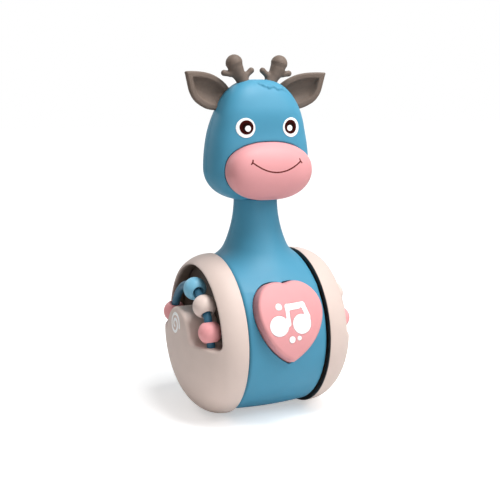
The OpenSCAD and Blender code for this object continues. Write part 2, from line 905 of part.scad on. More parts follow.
module rod_between(from, to, diameter) {
    way = antler_point(to) - antler_point(from);
    translate(antler_point(from)) rotate([0, atan2(way[0], way[2]), 0])
        cylinder(d = diameter, h = norm(way));
}

module antler_stalk(grow) rod_between(antler_foot, antler_bend, antler_d + 2 * grow);

module antler() {
    color([0.42, 0.36, 0.34]) {
        antler_stalk(0);
        rod_between(antler_foot, antler_root, antler_d + 2 * antler_flange_t);
        translate(antler_point(antler_bend)) sphere(d = antler_d + 2 * joint_swell);
        rod_between(antler_bend, antler_knob, antler_d);
        translate(antler_point(antler_knob)) sphere(d = knob_d);
        rod_between(antler_bend, outer_prong, prong_d);
        translate(antler_point(outer_prong)) sphere(d = prong_d + 2 * joint_swell);
        rod_between(inner_fork, inner_prong, prong_d);
        translate(antler_point(inner_prong)) sphere(d = prong_d + 2 * joint_swell);
    }
}

// Heart button

function bezier(from, pull, to, t) = pow(1 - t, 2) * from + 2 * t * (1 - t) * pull + pow(t, 2) * to;

function lobe_point(turn) = [for (i = [0, 1])
    heart_lobe_mid_shares[i] + heart_lobe_size_shares[i] * (i == 0 ? cos(turn) : sin(turn))];

function heart_half() =
    let (notch = acos(-heart_lobe_mid_shares[0] / heart_lobe_size_shares[0]))
    concat([for (i = [0 : heart_steps]) lobe_point(notch + (heart_lobe_end - notch) * i / heart_steps)],
        [for (i = [1 : heart_steps])
            bezier(lobe_point(heart_lobe_end), heart_pull_shares, [0, -1], i / heart_steps)]);

module heart_outline(grow) {
    half = heart_half();
    points = concat(half, [for (i = [len(half) - 2 : -1 : 1]) [-half[i][0], half[i][1]]]);
    polygon([for (point = points)
        [point[0] * (heart_w / 2 + grow), point[1] * (heart_h / 2 + grow)]]);
}

module heart_prism(grow, from) radial(heart_tilt) translate([0, 0, from])
    linear_extrude(heart_r) heart_outline(grow);

module note_outline(grow) {
    offset(r = grow + note_round) offset(delta = -note_round) union() {
        for (place = note_heads) translate(place) circle(d = note_head_d);
        translate([note_heads[0][0] + note_head_d / 2 - note_stem_w, note_heads[0][1]])
            square([note_stem_w, note_beam_top - note_heads[0][1]]);
        translate([note_heads[1][0] + note_head_d / 2 - note_stem_w, note_heads[1][1]])
            square([note_stem_w, note_beam_top - note_heads[1][1]]);
        translate([note_heads[0][0] + note_head_d / 2 - note_stem_w, note_beam_top - note_beam_h])
            square([note_heads[1][0] - note_heads[0][0] + note_stem_w, note_beam_h]);
    }
    for (dot = note_dots) translate([dot[0], dot[1]]) circle(d = dot[2] + 2 * grow, $fn = 32);
}

module heart_button() {
    color([0.93, 0.63, 0.65]) difference() {
        union() {
            intersection() {
                heart_prism(0, board_out);
                drum_core(heart_r);
            }
            intersection() {
                heart_prism(heart_lip, board_out);
                drum_core(lip_out_r);
            }
        }
        drum_core(lip_out_r - lip_t);
        intersection() {
            heart_prism(-heart_wall, board_out);
            drum_core(cap_r);
        }
        radial(heart_tilt) translate([0, 0, board_out]) linear_extrude(body_r) note_outline(lens_gap);
    }
}

// Symbols that fill the heart, on a plate behind it with a post over the switch
module note_lens() {
    color("white") {
        intersection() {
            radial(heart_tilt) translate([0, 0, board_out]) linear_extrude(body_r) note_outline(0);
            difference() {
                drum_core(heart_r + lens_rise);
                drum_core(cap_r - lens_t);
            }
        }
        intersection() {
            heart_prism(-heart_wall - snug, board_out);
            difference() {
                drum_core(cap_r - lens_gap);
                drum_core(cap_r - lens_t);
            }
        }
        radial(heart_tilt) translate([0, 0, plunger_top + post_gap])
            cylinder(d = plunger_d, h = cap_r - lens_t / 2 - plunger_top - post_gap);
    }
}

// Electronics

module switch_plunger() color([0.15, 0.15, 0.16]) radial(heart_tilt)
    translate([0, 0, plunger_base]) cylinder(d = plunger_d, h = plunger_h);

module switch_body() {
    color([0.15, 0.15, 0.16]) radial(heart_tilt) translate([0, 0, board_face]) difference() {
        translate([-switch_w / 2, -switch_w / 2, 0]) cube([switch_w, switch_w, switch_h]);
        translate([0, 0, switch_h - plunger_depth])
            cylinder(d = plunger_d + 2 * plunger_play, h = plunger_depth + over);
    }
}

module circuit_board() color([0.1, 0.4, 0.2]) radial(heart_tilt)
    translate([-board_w / 2, -board_h / 2, board_out]) cube([board_w, board_h, board_t]);

module sound_chip() color([0.08, 0.08, 0.08]) radial(heart_tilt)
    translate([0, 0, board_out - chip_t]) cylinder(d = chip_d, h = chip_t);

module lamp() {
    color([1, 0.95, 0.8]) radial(heart_tilt) translate([lamp_place[0], lamp_place[1], board_face]) {
        cylinder(d = lamp_d, h = lamp_h - lamp_d / 2);
        translate([0, 0, lamp_h - lamp_d / 2]) sphere(d = lamp_d - 2 * joint_swell);
    }
}

module speaker() {
    color([0.25, 0.25, 0.27]) radial(speaker_turn) translate([0, 0, speaker_back]) difference() {
        union() {
            cylinder(d = speaker_magnet_d, h = speaker_t);
            translate([0, 0, speaker_magnet_t]) cylinder(d = speaker_d, h = speaker_t - speaker_magnet_t);
        }
        translate([0, 0, speaker_t - cone_depth]) cylinder(d = speaker_cone_d, h = cone_depth + over);
    }
}

// Wire from the board to a part behind the axle, leaving both square to their faces
module inner_wire(board_place, route, end_turn, end_place, end_out) {
    color("firebrick") tube(concat(
        [for (out = [board_out, board_out - wire_lead])
            radial_point(heart_tilt, board_place[0], board_place[1], out)],
        [for (place = route) place + [0, 0, wheel_r]],
        [for (out = [end_out - wire_lead, end_out])
            radial_point(end_turn, end_place[0], end_place[1], out)]), wire_d / 2);
}

module speaker_wire() inner_wire(speaker_pad, speaker_route, speaker_turn, speaker_lug, speaker_back);

module battery_wire() inner_wire(battery_pad, battery_route, battery_turn, battery_lug, tray_base);

// Battery

module button_cells() {
    color([0.8, 0.8, 0.82]) radial(battery_turn) for (i = [0 : cell_count - 1])
        translate([i * (cell_t + cell_gap) - cell_stack / 2, 0, cell_out]) along_x()
            cylinder(d = cell_d, h = cell_t);
}

module battery_contacts() {
    color("gold") radial(battery_turn) for (side = [-1, 1])
        translate([side * (cell_stack + contact_t + 2 * cell_gap) / 2, 0, cell_out])
            cube([contact_t, contact_w, contact_w], center = true);
}

module battery_door() {
    color([0.29, 0.55, 0.69]) difference() {
        intersection() {
            door_block(0);
            on_axle() along_x() rotate_extrude() polygon(drum_points());
        }
        drum_core(door_in_r + snug);
        door_screw_places() cylinder(d = screw_d + 2 * snug, h = body_r + over);
        door_screw_places() translate([0, 0, door_in_r + door_seat_t])
            cylinder(d = screw_head_d + 2 * snug, h = body_r);
    }
}

module battery_door_screws() {
    color("silver") door_screw_places()
        translate([0, 0, door_in_r + door_seat_t - door_screw_len]) screw(door_screw_len);
}

// Axle and counterweight

module axle() {
    color("silver") difference() {
        on_axle() along_x() cylinder(r = axle_r, h = 2 * axle_end_x, center = true);
        for (side = [-1, 1]) on_axle() rotate([0, side * 90, 0])
            translate([0, 0, axle_end_x - end_screw_len])
                cylinder(d = screw_d + 2 * thread_play, h = end_screw_len + over);
    }
}

module axle_washers() {
    color("silver") for (side = [-1, 1]) on_axle() rotate([0, side * 90, 0])
        translate([0, 0, axle_end_x]) difference() {
            cylinder(d = washer_d, h = washer_t);
            translate([0, 0, -over]) cylinder(d = screw_d + 2 * snug, h = washer_t + 2 * over);
        }
}

module axle_end_screws() {
    color("silver") for (side = [-1, 1]) on_axle() rotate([0, side * 90, 0])
        translate([0, 0, axle_end_x + washer_t - end_screw_len]) screw(end_screw_len);
}

module counterweight() {
    color([0.35, 0.35, 0.37]) difference() {
        on_axle() along_x() cylinder(r = weight_r, h = weight_w, center = true);
        translate([-body_w, -body_d, weight_top_z]) cube([2 * body_w, 2 * body_d, body_d]);
        translate([-body_w, weight_back, 0]) cube([2 * body_w, body_d, body_d]);
        for (place = body_screw_places) translate([place[0], -body_d, place[1]]) rotate([-90, 0, 0])
            cylinder(d = tube_d + 2 * inner_play, h = 2 * body_d);
    }
}

module body_screws() color("silver") for (place = body_screw_places)
    shell_screw(place, screw_len);

// Pieces that come in a left and a right copy

module left_ear() left() ear();
module right_ear() ear();
module left_antler() left() antler();
module right_antler() antler();
module left_eye() left() eye();
module right_eye() eye();
module left_pupil() left() pupil();
module right_pupil() pupil();
module left_wheel_cover() left() wheel_cover();
module right_wheel_cover() wheel_cover();
module left_wheel_plate() left() wheel_plate();
module right_wheel_plate() wheel_plate();
module left_bead_rod() left() bead_rod();
module right_bead_rod() bead_rod();
module left_wheel_screws() left() wheel_screws();
module right_wheel_screws() wheel_screws();
module left_bead_front_pink() left() bead_front_pink();
module right_bead_front_pink() bead_front_pink();
module left_bead_beige() left() bead_beige();
module right_bead_beige() bead_beige();
module left_bead_blue() left() bead_blue();
module right_bead_blue() bead_blue();
module left_bead_rear_pink() left() bead_rear_pink();
module right_bead_rear_pink() bead_rear_pink();

body_front_shell();
body_rear_shell();
head_front_shell();
head_rear_shell();
muzzle();
left_ear();
right_ear();
left_antler();
right_antler();
left_eye();
right_eye();
left_pupil();
right_pupil();
counterweight();
axle();
axle_washers();
axle_end_screws();
circuit_board();
sound_chip();
lamp();
switch_body();
speaker();
speaker_wire();
battery_wire();
button_cells();
battery_contacts();
battery_door();
battery_door_screws();
body_screws();
head_screws();
muzzle_screws();
heart_button();
note_lens();
switch_plunger();
left_wheel_cover();
left_wheel_plate();
left_bead_rod();
left_wheel_screws();
left_bead_front_pink();
left_bead_beige();
left_bead_blue();
left_bead_rear_pink();
right_wheel_cover();
right_wheel_plate();
right_bead_rod();
right_wheel_screws();
right_bead_front_pink();
right_bead_beige();
right_bead_blue();
right_bead_rear_pink();
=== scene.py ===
"""Looks of a roly-poly deer toy: moulded shells, soft ears and antlers, bead wheels and a heart.

Lengths are millimetres in the frame of the part's source: +Z is up, the face looks towards -Y,
the axle runs along X and the origin lies on the floor below it.
"""

import logging
import math
from collections.abc import Callable, Sequence
from dataclasses import dataclass, replace
from enum import Enum
from functools import cached_property, reduce

import bpy
import numpy as np
from mathutils import Matrix, Vector


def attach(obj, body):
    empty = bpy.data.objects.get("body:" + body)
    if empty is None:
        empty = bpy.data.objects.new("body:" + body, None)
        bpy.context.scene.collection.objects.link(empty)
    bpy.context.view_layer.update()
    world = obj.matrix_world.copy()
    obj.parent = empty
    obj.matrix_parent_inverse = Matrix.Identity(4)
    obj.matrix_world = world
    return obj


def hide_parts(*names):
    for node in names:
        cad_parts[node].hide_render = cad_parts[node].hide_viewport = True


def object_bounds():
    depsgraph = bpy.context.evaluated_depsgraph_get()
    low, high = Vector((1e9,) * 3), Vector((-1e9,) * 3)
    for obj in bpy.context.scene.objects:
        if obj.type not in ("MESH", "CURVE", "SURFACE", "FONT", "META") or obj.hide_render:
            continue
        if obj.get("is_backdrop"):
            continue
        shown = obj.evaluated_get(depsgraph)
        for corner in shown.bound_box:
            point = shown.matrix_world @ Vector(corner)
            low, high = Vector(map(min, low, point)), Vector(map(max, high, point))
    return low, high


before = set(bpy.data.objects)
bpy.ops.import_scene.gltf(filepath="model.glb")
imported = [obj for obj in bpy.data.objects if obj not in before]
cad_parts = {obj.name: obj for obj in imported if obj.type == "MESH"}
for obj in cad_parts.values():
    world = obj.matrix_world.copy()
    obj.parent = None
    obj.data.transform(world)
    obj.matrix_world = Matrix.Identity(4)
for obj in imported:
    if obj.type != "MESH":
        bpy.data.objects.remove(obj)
CAD_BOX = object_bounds()

LOG = logging.getLogger("roly_poly_deer")
MM = 0.001

# Sizes that more than one sub-assembly needs
AXLE_Z = 34.0
SEAM = 0.02
COLLAR_TOP = 93.8
SCREW_SEAT_Y = 4.0
POST_R = 3.6
WELL_R = 2.4
DRUM_SCREWS = ((-9.0, 12.0), (9.0, 12.0), (0.0, 79.0))
HEAD_SCREWS = ((-12.6, 112.4), (12.6, 112.4))
DOOR_TURN = 186.0
DOOR_SCREW_X = 12.2
PUPIL_PLACE = (9.85, 120.9)
PUPIL_R = 2.85
WHEEL_RIM_X = 18.15
WINDOW_R = 29.8

# Steps and limits of the meshing
SLAB = 16
PULLS = 3
PROBE = 0.04
PRINT_PROBE = 0.05
FAR = 1000.0
TINY = 1e-9
LEAST_SLOPE = 1e-3
LEAST_STEEPNESS = 0.05
LINE_END_STEPS = 7
LINE_END_GAP = 1e-4
DISC_SIDES = 64

Array = np.ndarray
Colour = tuple[float, float, float]
Point = tuple[float, float, float]
Place = tuple[float, float]
Base = Callable[[Array], Array]
# Lowest and highest corner of the space to search, grid spacing and number of triangles
Search = tuple[Point, Point, float, int]


class Side(Enum):
    """The two sides of the toy, with the sign of X there."""

    LEFT = -1
    RIGHT = 1

    @property
    def word(self) -> str:
        """The side's word in the names of pieces."""
        return self.name.lower()


# Fields: functions of places that are negative inside a form


@dataclass(frozen=True)
class Spots:
    """Places in space, as arrays of their coordinates."""

    x: Array
    y: Array
    z: Array

    @property
    def up(self) -> Array:
        """Heights above the axle."""
        return self.z - AXLE_Z

    @cached_property
    def off(self) -> Array:
        """Distances from the axle."""
        return np.hypot(self.y, self.up)

    @cached_property
    def stem(self) -> Array:
        """Distances from the middle line of the neck."""
        return np.hypot(self.x, self.y)

    def bar(self, x: float, z: float) -> Array:
        """Distances from a line along Y at a place across and up."""
        return np.hypot(self.x - x, self.z - z)

    def turned(self, turn: float) -> tuple[Array, Array]:
        """The ways along and out from the axle at a turn from the front, in degrees."""
        sine, cosine = math.sin(math.radians(turn)), math.cos(math.radians(turn))
        return self.y * sine + self.up * cosine, self.up * sine - self.y * cosine


Shape = Callable[[Spots], Array]


def meet(*forms: Array) -> Array:
    """Distance to where forms overlap."""
    return reduce(np.maximum, forms)


def join(*forms: Array) -> Array:
    """Distance to forms taken together."""
    return reduce(np.minimum, forms)


def ease(share: Array) -> Array:
    """A share that starts and ends softly."""
    return share * share * (3 - 2 * share)


def round_meet(first: Array, second: Array, radius: float) -> Array:
    """Where two forms overlap, with a rounded outer edge of a radius."""
    corner = np.hypot(np.maximum(first + radius, 0), np.maximum(second + radius, 0))
    return np.minimum(np.maximum(first, second), -radius) + corner


def soft_join(first: Array, second: Array, blend: float) -> Array:
    """Two forms as one, with a hollow fillet of a width between them."""
    near = np.maximum(blend - np.abs(first - second), 0) / blend
    return np.minimum(first, second) - near * near * blend / 4


def soft_cut(form: Array, tool: Array, blend: float) -> Array:
    """The form without the tool, with softened edges of a width."""
    return -soft_join(-form, tool, blend)


def stroke(at: Spots, start: Point, end: Point, radii: Place) -> Array:
    """Distance to a round-ended rod that may taper.

    Args:
        at: Places.
        start: Centre of the first end.
        end: Centre of the second end.
        radii: Radius at each end.

    Returns:
        Distance, negative inside.
    """
    way = np.subtract(end, start)
    gaps = [c - s for c, s in zip((at.x, at.y, at.z), start)]
    share = np.clip(sum(g * w for g, w in zip(gaps, way)) / (way @ way), 0, 1)
    off = np.sqrt(sum((g - share * w) ** 2 for g, w in zip(gaps, way)))
    return off - radii[0] - share * (radii[1] - radii[0])


def outline_distance(u: Array, v: Array, points: Array) -> Array:
    """Signed distance to a closed outline in a plane.

    Args:
        u: First coordinate.
        v: Second coordinate.
        points: Corners of the outline, in order.

    Returns:
        Distance, negative inside.
    """
    nearest = np.full(np.shape(u), np.inf)
    inside = np.zeros(np.shape(u), bool)
    for (au, av), (bu, bv) in zip(points, np.roll(points, -1, axis=0)):
        eu, ev = bu - au, bv - av
        share = np.clip(((u - au) * eu + (v - av) * ev) / (eu * eu + ev * ev), 0, 1)
        nearest = np.minimum(nearest, (u - au - share * eu) ** 2 + (v - av - share * ev) ** 2)
        if av != bv:
            inside ^= ((av > v) != (bv > v)) & (u < eu * (v - av) / ev + au)
    return np.where(inside, -1, 1) * np.sqrt(nearest)


def smooth_loop(points: Sequence[Place], steps: int) -> Array:
    """A closed smooth curve through points in a plane.

    Args:
        points: Points in order.
        steps: Pieces between two points.

    Returns:
        The curve's points.
    """
    knots = np.array(points, float)
    before, after, beyond = (np.roll(knots, shift, 0) for shift in (1, -1, -2))
    shares = np.arange(steps)[:, None, None] / steps
    curve = 0.5 * (2 * knots + (after - before) * shares
                   + (2 * before - 5 * knots + 4 * after - beyond) * shares ** 2
                   + (3 * knots - before - 3 * after + beyond) * shares ** 3)
    return curve.transpose(1, 0, 2).reshape(-1, 2)


@dataclass(frozen=True)
class Egg:
    """A rounded form whose front, back, top and bottom have their own reach and fullness."""

    centre: Point
    half_width: float
    front: float
    back: float
    up: float
    down: float
    section: Place
    rise: Place
    drop: Place
    lean: float = 0.0
    lean_span: Place = (13.0, 25.0)

    def forward(self, z: Array) -> Array:
        """How far the form leans forward at heights above its centre."""
        start, end = self.lean_span
        return self.lean * ease(np.clip((z - start) / (end - start), 0, 1))

    def grown(self, by: float) -> "Egg":
        """The same form with every reach longer by a length."""
        reaches = ("half_width", "front", "back", "up", "down")
        return replace(self, **{name: getattr(self, name) + by for name in reaches})

    def _halves(self, z: Array) -> list[Array]:
        """Reach and both powers of the upper or lower half that heights lie in."""
        pairs = zip((self.up, *self.rise), (self.down, *self.drop))
        return [np.where(z > 0, upper, lower) for upper, lower in pairs]

    def __call__(self, at: Spots) -> Array:
        """Distance to the form, near its surface.

        Args:
            at: Places.

        Returns:
            Distance, negative inside.
        """
        x, y, z = (c - m for c, m in zip((at.x, at.y, at.z), self.centre))
        y = y + self.forward(z)
        power = np.where(y < 0, *self.section)
        depth = np.where(y < 0, self.front, self.back)
        height, tall, wide = self._halves(z)
        across, along = np.abs(x) / self.half_width, np.abs(y) / depth
        level = np.abs(z) / height
        spread = (across ** power + along ** power + TINY) ** (1 / power)
        value = spread ** wide + level ** tall - 1
        slope_out = wide * spread ** (wide - power) * np.hypot(
            across ** (power - 1) / self.half_width, along ** (power - 1) / depth)
        slope_up = tall * level ** (tall - 1) / height
        return value / (np.hypot(slope_out, slope_up) + LEAST_SLOPE)

    def front_y(self, x: Array, z: Array) -> Array:
        """Y of the front surface.

        Args:
            x: Places across.
            z: Places up.

        Returns:
            Y at each place.
        """
        x, z = x - self.centre[0], z - self.centre[2]
        height, tall, wide = self._halves(z)
        spread = np.maximum(1 - (np.abs(z) / height) ** tall, 0) ** (1 / wide)
        power = self.section[0]
        reach = np.maximum(spread ** power - (np.abs(x) / self.half_width) ** power, 0)
        return self.centre[1] - self.forward(z) - self.front * reach ** (1 / power)

    def printed(self, rows: Array) -> Array:
        """A base for prints on the front.

        Args:
            rows: Rows of X, Z and a height above the surface.

        Returns:
            The points.
        """
        x, z, height = rows.T
        y = self.front_y(x, z)
        normal = np.column_stack([(self.front_y(x + PRINT_PROBE, z) - y) / PRINT_PROBE,
                                  np.full(len(x), -1.0),
                                  (self.front_y(x, z + PRINT_PROBE) - y) / PRINT_PROBE])
        normal /= np.linalg.norm(normal, axis=1, keepdims=True)
        return np.column_stack([x, y, z]) + height[:, None] * normal


# Skins: meshes made from fields, profiles and paths

CORNERS = [(x, y, z) for z in (0, 1) for y in (0, 1) for x in (0, 1)]
CELL_EDGES = [(np.array(corner), corner + way) for way in np.eye(3, dtype=int)
              for corner in CORNERS if not np.dot(corner, way)]


def slope_of(shape: Shape, points: Array) -> Array:
    """Gradient of a field at points, one per row."""
    steps = PROBE * np.eye(3)
    return np.stack([(shape(Spots(*(points + step).T)) - shape(Spots(*(points - step).T)))
                     / (2 * PROBE) for step in steps], axis=1)


def unit(rows: Array) -> Array:
    """Rows brought to the length 1."""
    return rows / np.maximum(np.linalg.norm(rows, axis=1, keepdims=True), TINY)


@dataclass
class Skin:
    """A mesh, with a normal at each point where they are known."""

    points: Array
    faces: list
    normals: Array | None = None

    @classmethod
    def of_field(cls, shape: Shape, low: Point, high: Point, step: float, wanted: int,
                 shading: Shape | None = None) -> "Skin":
        """Meshes the surface of a field.

        Args:
            shape: The field.
            low: Lowest corner of the space that is searched.
            high: Highest corner of that space.
            step: Grid spacing.
            wanted: Number of triangles to thin the mesh to.
            shading: Field that gives the normals, where it isn't the shape itself.

        Returns:
            The skin.
        """
        counts = [int(math.ceil((b - a) / step)) + 1 for a, b in zip(low, high)]
        xs, ys, zs = (a + step * np.arange(n) for a, n in zip(low, counts))
        values = np.empty(counts)
        for start in range(0, counts[0], SLAB):
            grid = np.meshgrid(xs[start:start + SLAB], ys, zs, indexing="ij")
            values[start:start + SLAB] = shape(Spots(*grid))
        points, quads = cls._net(values, np.array(low), step)
        for _ in range(PULLS):
            slope = slope_of(shape, points)
            away = shape(Spots(*points.T)) / np.maximum((slope ** 2).sum(1), LEAST_STEEPNESS)
            points = points - np.clip(away, -step / 2, step / 2)[:, None] * slope
        skin = cls(points, quads.tolist()).thinned(wanted)
        skin.normals = unit(slope_of(shading or shape, skin.points))
        return skin

    @staticmethod
    def _net(values: Array, low: Array, step: float) -> tuple[Array, Array]:
        """Joins one point per mixed cell of a grid into quads.

        Args:
            values: The field on the grid.
            low: The grid's first corner.
            step: The grid's spacing.

        Returns:
            The points and the quads.
        """
        inside = values < 0
        shape = tuple(n - 1 for n in values.shape)
        full = np.zeros(shape, np.int8)
        for dx, dy, dz in CORNERS:
            full += inside[dx:dx + shape[0], dy:dy + shape[1], dz:dz + shape[2]]
        mixed = (full > 0) & (full < len(CORNERS))
        cells = np.argwhere(mixed)
        index = np.full(shape, -1)
        index[mixed] = np.arange(len(cells))
        total, hits = np.zeros((len(cells), 3)), np.zeros(len(cells))
        for start, end in CELL_EDGES:
            first, second = (values[tuple((cells + corner).T)] for corner in (start, end))
            crossed = (first < 0) != (second < 0)
            share = np.where(crossed, first / np.where(crossed, first - second, 1), 0)
            total += np.where(crossed[:, None], start + share[:, None] * (end - start), 0)
            hits += crossed
        points = low + step * (cells + total / hits[:, None])
        quads = []
        for axis in range(3):
            u, v = (np.eye(3, dtype=int)[(axis + ahead) % 3] for ahead in (1, 2))
            lower, upper = ([slice(1, n - 1) for n in values.shape] for _ in range(2))
            lower[axis], upper[axis] = slice(0, -1), slice(1, None)
            first, second = inside[tuple(lower)], inside[tuple(upper)]
            edges = np.argwhere(first != second)
            leaving = first[tuple(edges.T)]
            edges = edges + (u + v)
            ring = np.stack([index[tuple((edges - back).T)] for back in (u + v, v, 0, u)], axis=1)
            quads.append(np.where(leaving[:, None], ring, ring[:, ::-1]))
        return points, np.concatenate(quads)

    @classmethod
    def of_grid(cls, rows: Array, closed: bool = True) -> "Skin":
        """Joins rows of points into quads, each row a ring.

        Args:
            rows: Points in rows, with the shape (rows, points, 3).
            closed: True where the last row joins the first; otherwise the ends are capped.

        Returns:
            The skin.
        """
        count, sides = rows.shape[:2]
        faces = []
        for i in range(count if closed else count - 1):
            k = (i + 1) % count
            for j in range(sides):
                m = (j + 1) % sides
                faces.append([i * sides + j, i * sides + m, k * sides + m, k * sides + j])
        if not closed:
            faces.append(list(range(sides - 1, -1, -1)))
            faces.append([(count - 1) * sides + j for j in range(sides)])
        return cls(rows.reshape(-1, 3), faces)

    @classmethod
    def joined(cls, skins: Sequence["Skin"]) -> "Skin":
        """Several skins as one.

        Args:
            skins: The skins, all with normals or all without.

        Returns:
            The joined skin.
        """
        starts = np.cumsum([0] + [len(skin.points) for skin in skins]).tolist()
        faces = [[start + i for i in face]
                 for start, skin in zip(starts, skins) for face in skin.faces]
        known = skins[0].normals is not None
        return cls(np.concatenate([skin.points for skin in skins]), faces,
                   np.concatenate([skin.normals for skin in skins]) if known else None)

    def thinned(self, wanted: int) -> "Skin":
        """The same surface with about a wanted number of triangles.

        Args:
            wanted: That number.

        Returns:
            The thinner skin.
        """
        if 2 * len(self.faces) <= wanted:
            return self
        rough = self.to_object("rough_skin")
        rough.modifiers.new("thin", "DECIMATE").ratio = wanted / (2 * len(self.faces))
        made = rough.evaluated_get(bpy.context.evaluated_depsgraph_get()).to_mesh()
        points = np.empty(len(made.vertices) * 3)
        made.vertices.foreach_get("co", points)
        faces = [list(polygon.vertices) for polygon in made.polygons]
        mesh = rough.data
        bpy.data.objects.remove(rough)
        bpy.data.meshes.remove(mesh)
        return Skin(points.reshape(-1, 3) / MM, faces)

    def on(self, side: Side) -> "Skin":
        """The skin, made for the right, on a side.

        Args:
            side: The side.

        Returns:
            The skin itself, or its mirror image.
        """
        if side is Side.RIGHT:
            return self
        flip = np.array([-1, 1, 1])
        normals = None if self.normals is None else self.normals * flip
        return Skin(self.points * flip, [face[::-1] for face in self.faces], normals)

    def moved(self, matrix: Matrix) -> "Skin":
        """The skin after a turn and a shift.

        Args:
            matrix: The turn and the shift, in millimetres.

        Returns:
            The moved skin.
        """
        turn = np.array(matrix.to_3x3())
        normals = None if self.normals is None else self.normals @ turn.T
        return Skin(self.points @ turn.T + np.array(matrix.translation), self.faces, normals)

    def to_object(self, name: str) -> bpy.types.Object:
        """Makes a smooth-shaded Blender object in metres.

        Args:
            name: Name of the object.

        Returns:
            The object, in the scene.
        """
        mesh = bpy.data.meshes.new(name)
        mesh.from_pydata((self.points * MM).tolist(), [], self.faces)
        mesh.update()
        mesh.shade_smooth()
        if self.normals is not None:
            mesh.normals_split_custom_set_from_vertices(self.normals.tolist())
        made = bpy.data.objects.new(name, mesh)
        bpy.context.scene.collection.objects.link(made)
        return made


def circle(count: int) -> tuple[Array, Array]:
    """Cosine and sine of turns spread evenly round a circle."""
    turns = np.linspace(0, 2 * np.pi, count, endpoint=False)
    return np.cos(turns), np.sin(turns)


def lathe(profile: Array, sides: int) -> Skin:
    """Turns a closed profile of radius and height about Z.

    Args:
        profile: Rows of radius and height.
        sides: Steps round the circle.

    Returns:
        The turned form.
    """
    cosine, sine = circle(sides)
    return Skin.of_grid(np.stack([profile[:, 0] * cosine[:, None], profile[:, 0] * sine[:, None],
                                  np.broadcast_to(profile[:, 1], (sides, len(profile)))], axis=2))


def tube(path: Array, radius: float, sides: int, side: Point) -> Skin:
    """Sweeps a circle along a path in a plane.

    Args:
        path: Points of the path.
        radius: Radius of the tube.
        sides: Sides of the circle.
        side: Direction square to the plane of the path.

    Returns:
        The capped tube.
    """
    out = np.cross(unit(np.gradient(path, axis=0)), side)
    cosine, sine = (part[None, :, None] for part in circle(sides))
    rows = path[:, None] + radius * (cosine * out[:, None] + sine * np.array(side))
    return Skin.of_grid(rows, closed=False)


def print_line(path: Array, half_width: float, rise: float, base: Base) -> Skin:
    """A thin raised line of ink along a path on a surface, with round ends.

    Args:
        path: Points of the path in the surface's own two coordinates.
        half_width: Half the line's width.
        rise: How far the ink stands up.
        base: Gives the surface's points for rows of its two coordinates and a height.

    Returns:
        The closed line.
    """
    run = np.concatenate([[0], np.cumsum(np.linalg.norm(np.diff(path, axis=0), axis=1))])
    turns = np.linspace(0, np.pi / 2, LINE_END_STEPS)
    ends = half_width * (1 - np.cos(turns)) + LINE_END_GAP
    middle = np.linspace(half_width, run[-1] - half_width, 2 * len(path))
    places = np.unique(np.concatenate([ends, middle, run[-1] - ends]))
    line = np.stack([np.interp(places, run, path[:, i]) for i in (0, 1)], axis=1)
    ahead = unit(np.gradient(line, axis=0))
    out = np.stack([-ahead[:, 1], ahead[:, 0]], axis=1)
    short = np.clip(np.minimum(places, run[-1] - places) / half_width, 0, 1)
    width = half_width * np.sqrt(1 - (1 - short) ** 2)
    across = [-1, -0.8, -0.4, 0, 0.4, 0.8, 1, 0.4, -0.4]
    heights = [0, 0.75, 1, 1, 1, 0.75, 0, -1, -1]
    rows = [base(np.column_stack([line + share * width[:, None] * out,
                                  np.full(len(line), rise * height)]))
            for share, height in zip(across, heights)]
    return Skin.of_grid(np.stack(rows, axis=1), closed=False)


def print_disc(centre: Place, radius: float, lift: float, rise: float, base: Base) -> Skin:
    """A thin round patch of ink on a surface.

    Args:
        centre: Its centre in the surface's own two coordinates.
        radius: Its radius.
        lift: Height of its underside above the surface.
        rise: Its thickness.
        base: Gives the surface's points for rows of its two coordinates and a height.

    Returns:
        The closed patch.
    """
    ring = np.column_stack(circle(DISC_SIDES))
    shares = [0.02, 0.35, 0.65, 0.85, 0.96, 0.99, 1, 1, 0.96, 0.65, 0.35, 0.02]
    heights = [1, 1, 1, 1, 1, 0.9, 0.6, 0.2, 0, 0, 0, 0]
    rows = [base(np.column_stack([centre + share * radius * ring,
                                  np.full(len(ring), lift + rise * height)]))
            for share, height in zip(shares, heights)]
    return Skin.of_grid(np.stack(rows)[::-1], closed=False)


# Finishes: node materials


def math_operator(operation: str, reflected: bool = False) -> Callable[..., "Signal"]:
    """Makes an operator of signals that adds one Math node.

    Args:
        operation: The node's operation.
        reflected: True where the signal is the second value.

    Returns:
        The operator's method.
    """

    def method(signal: "Signal", *others: "Signal | float") -> "Signal":
        """Adds the node."""
        values = (*others, signal) if reflected else (signal, *others)
        return signal.graph.add("Math", {"operation": operation}, dict(enumerate(values)))

    return method


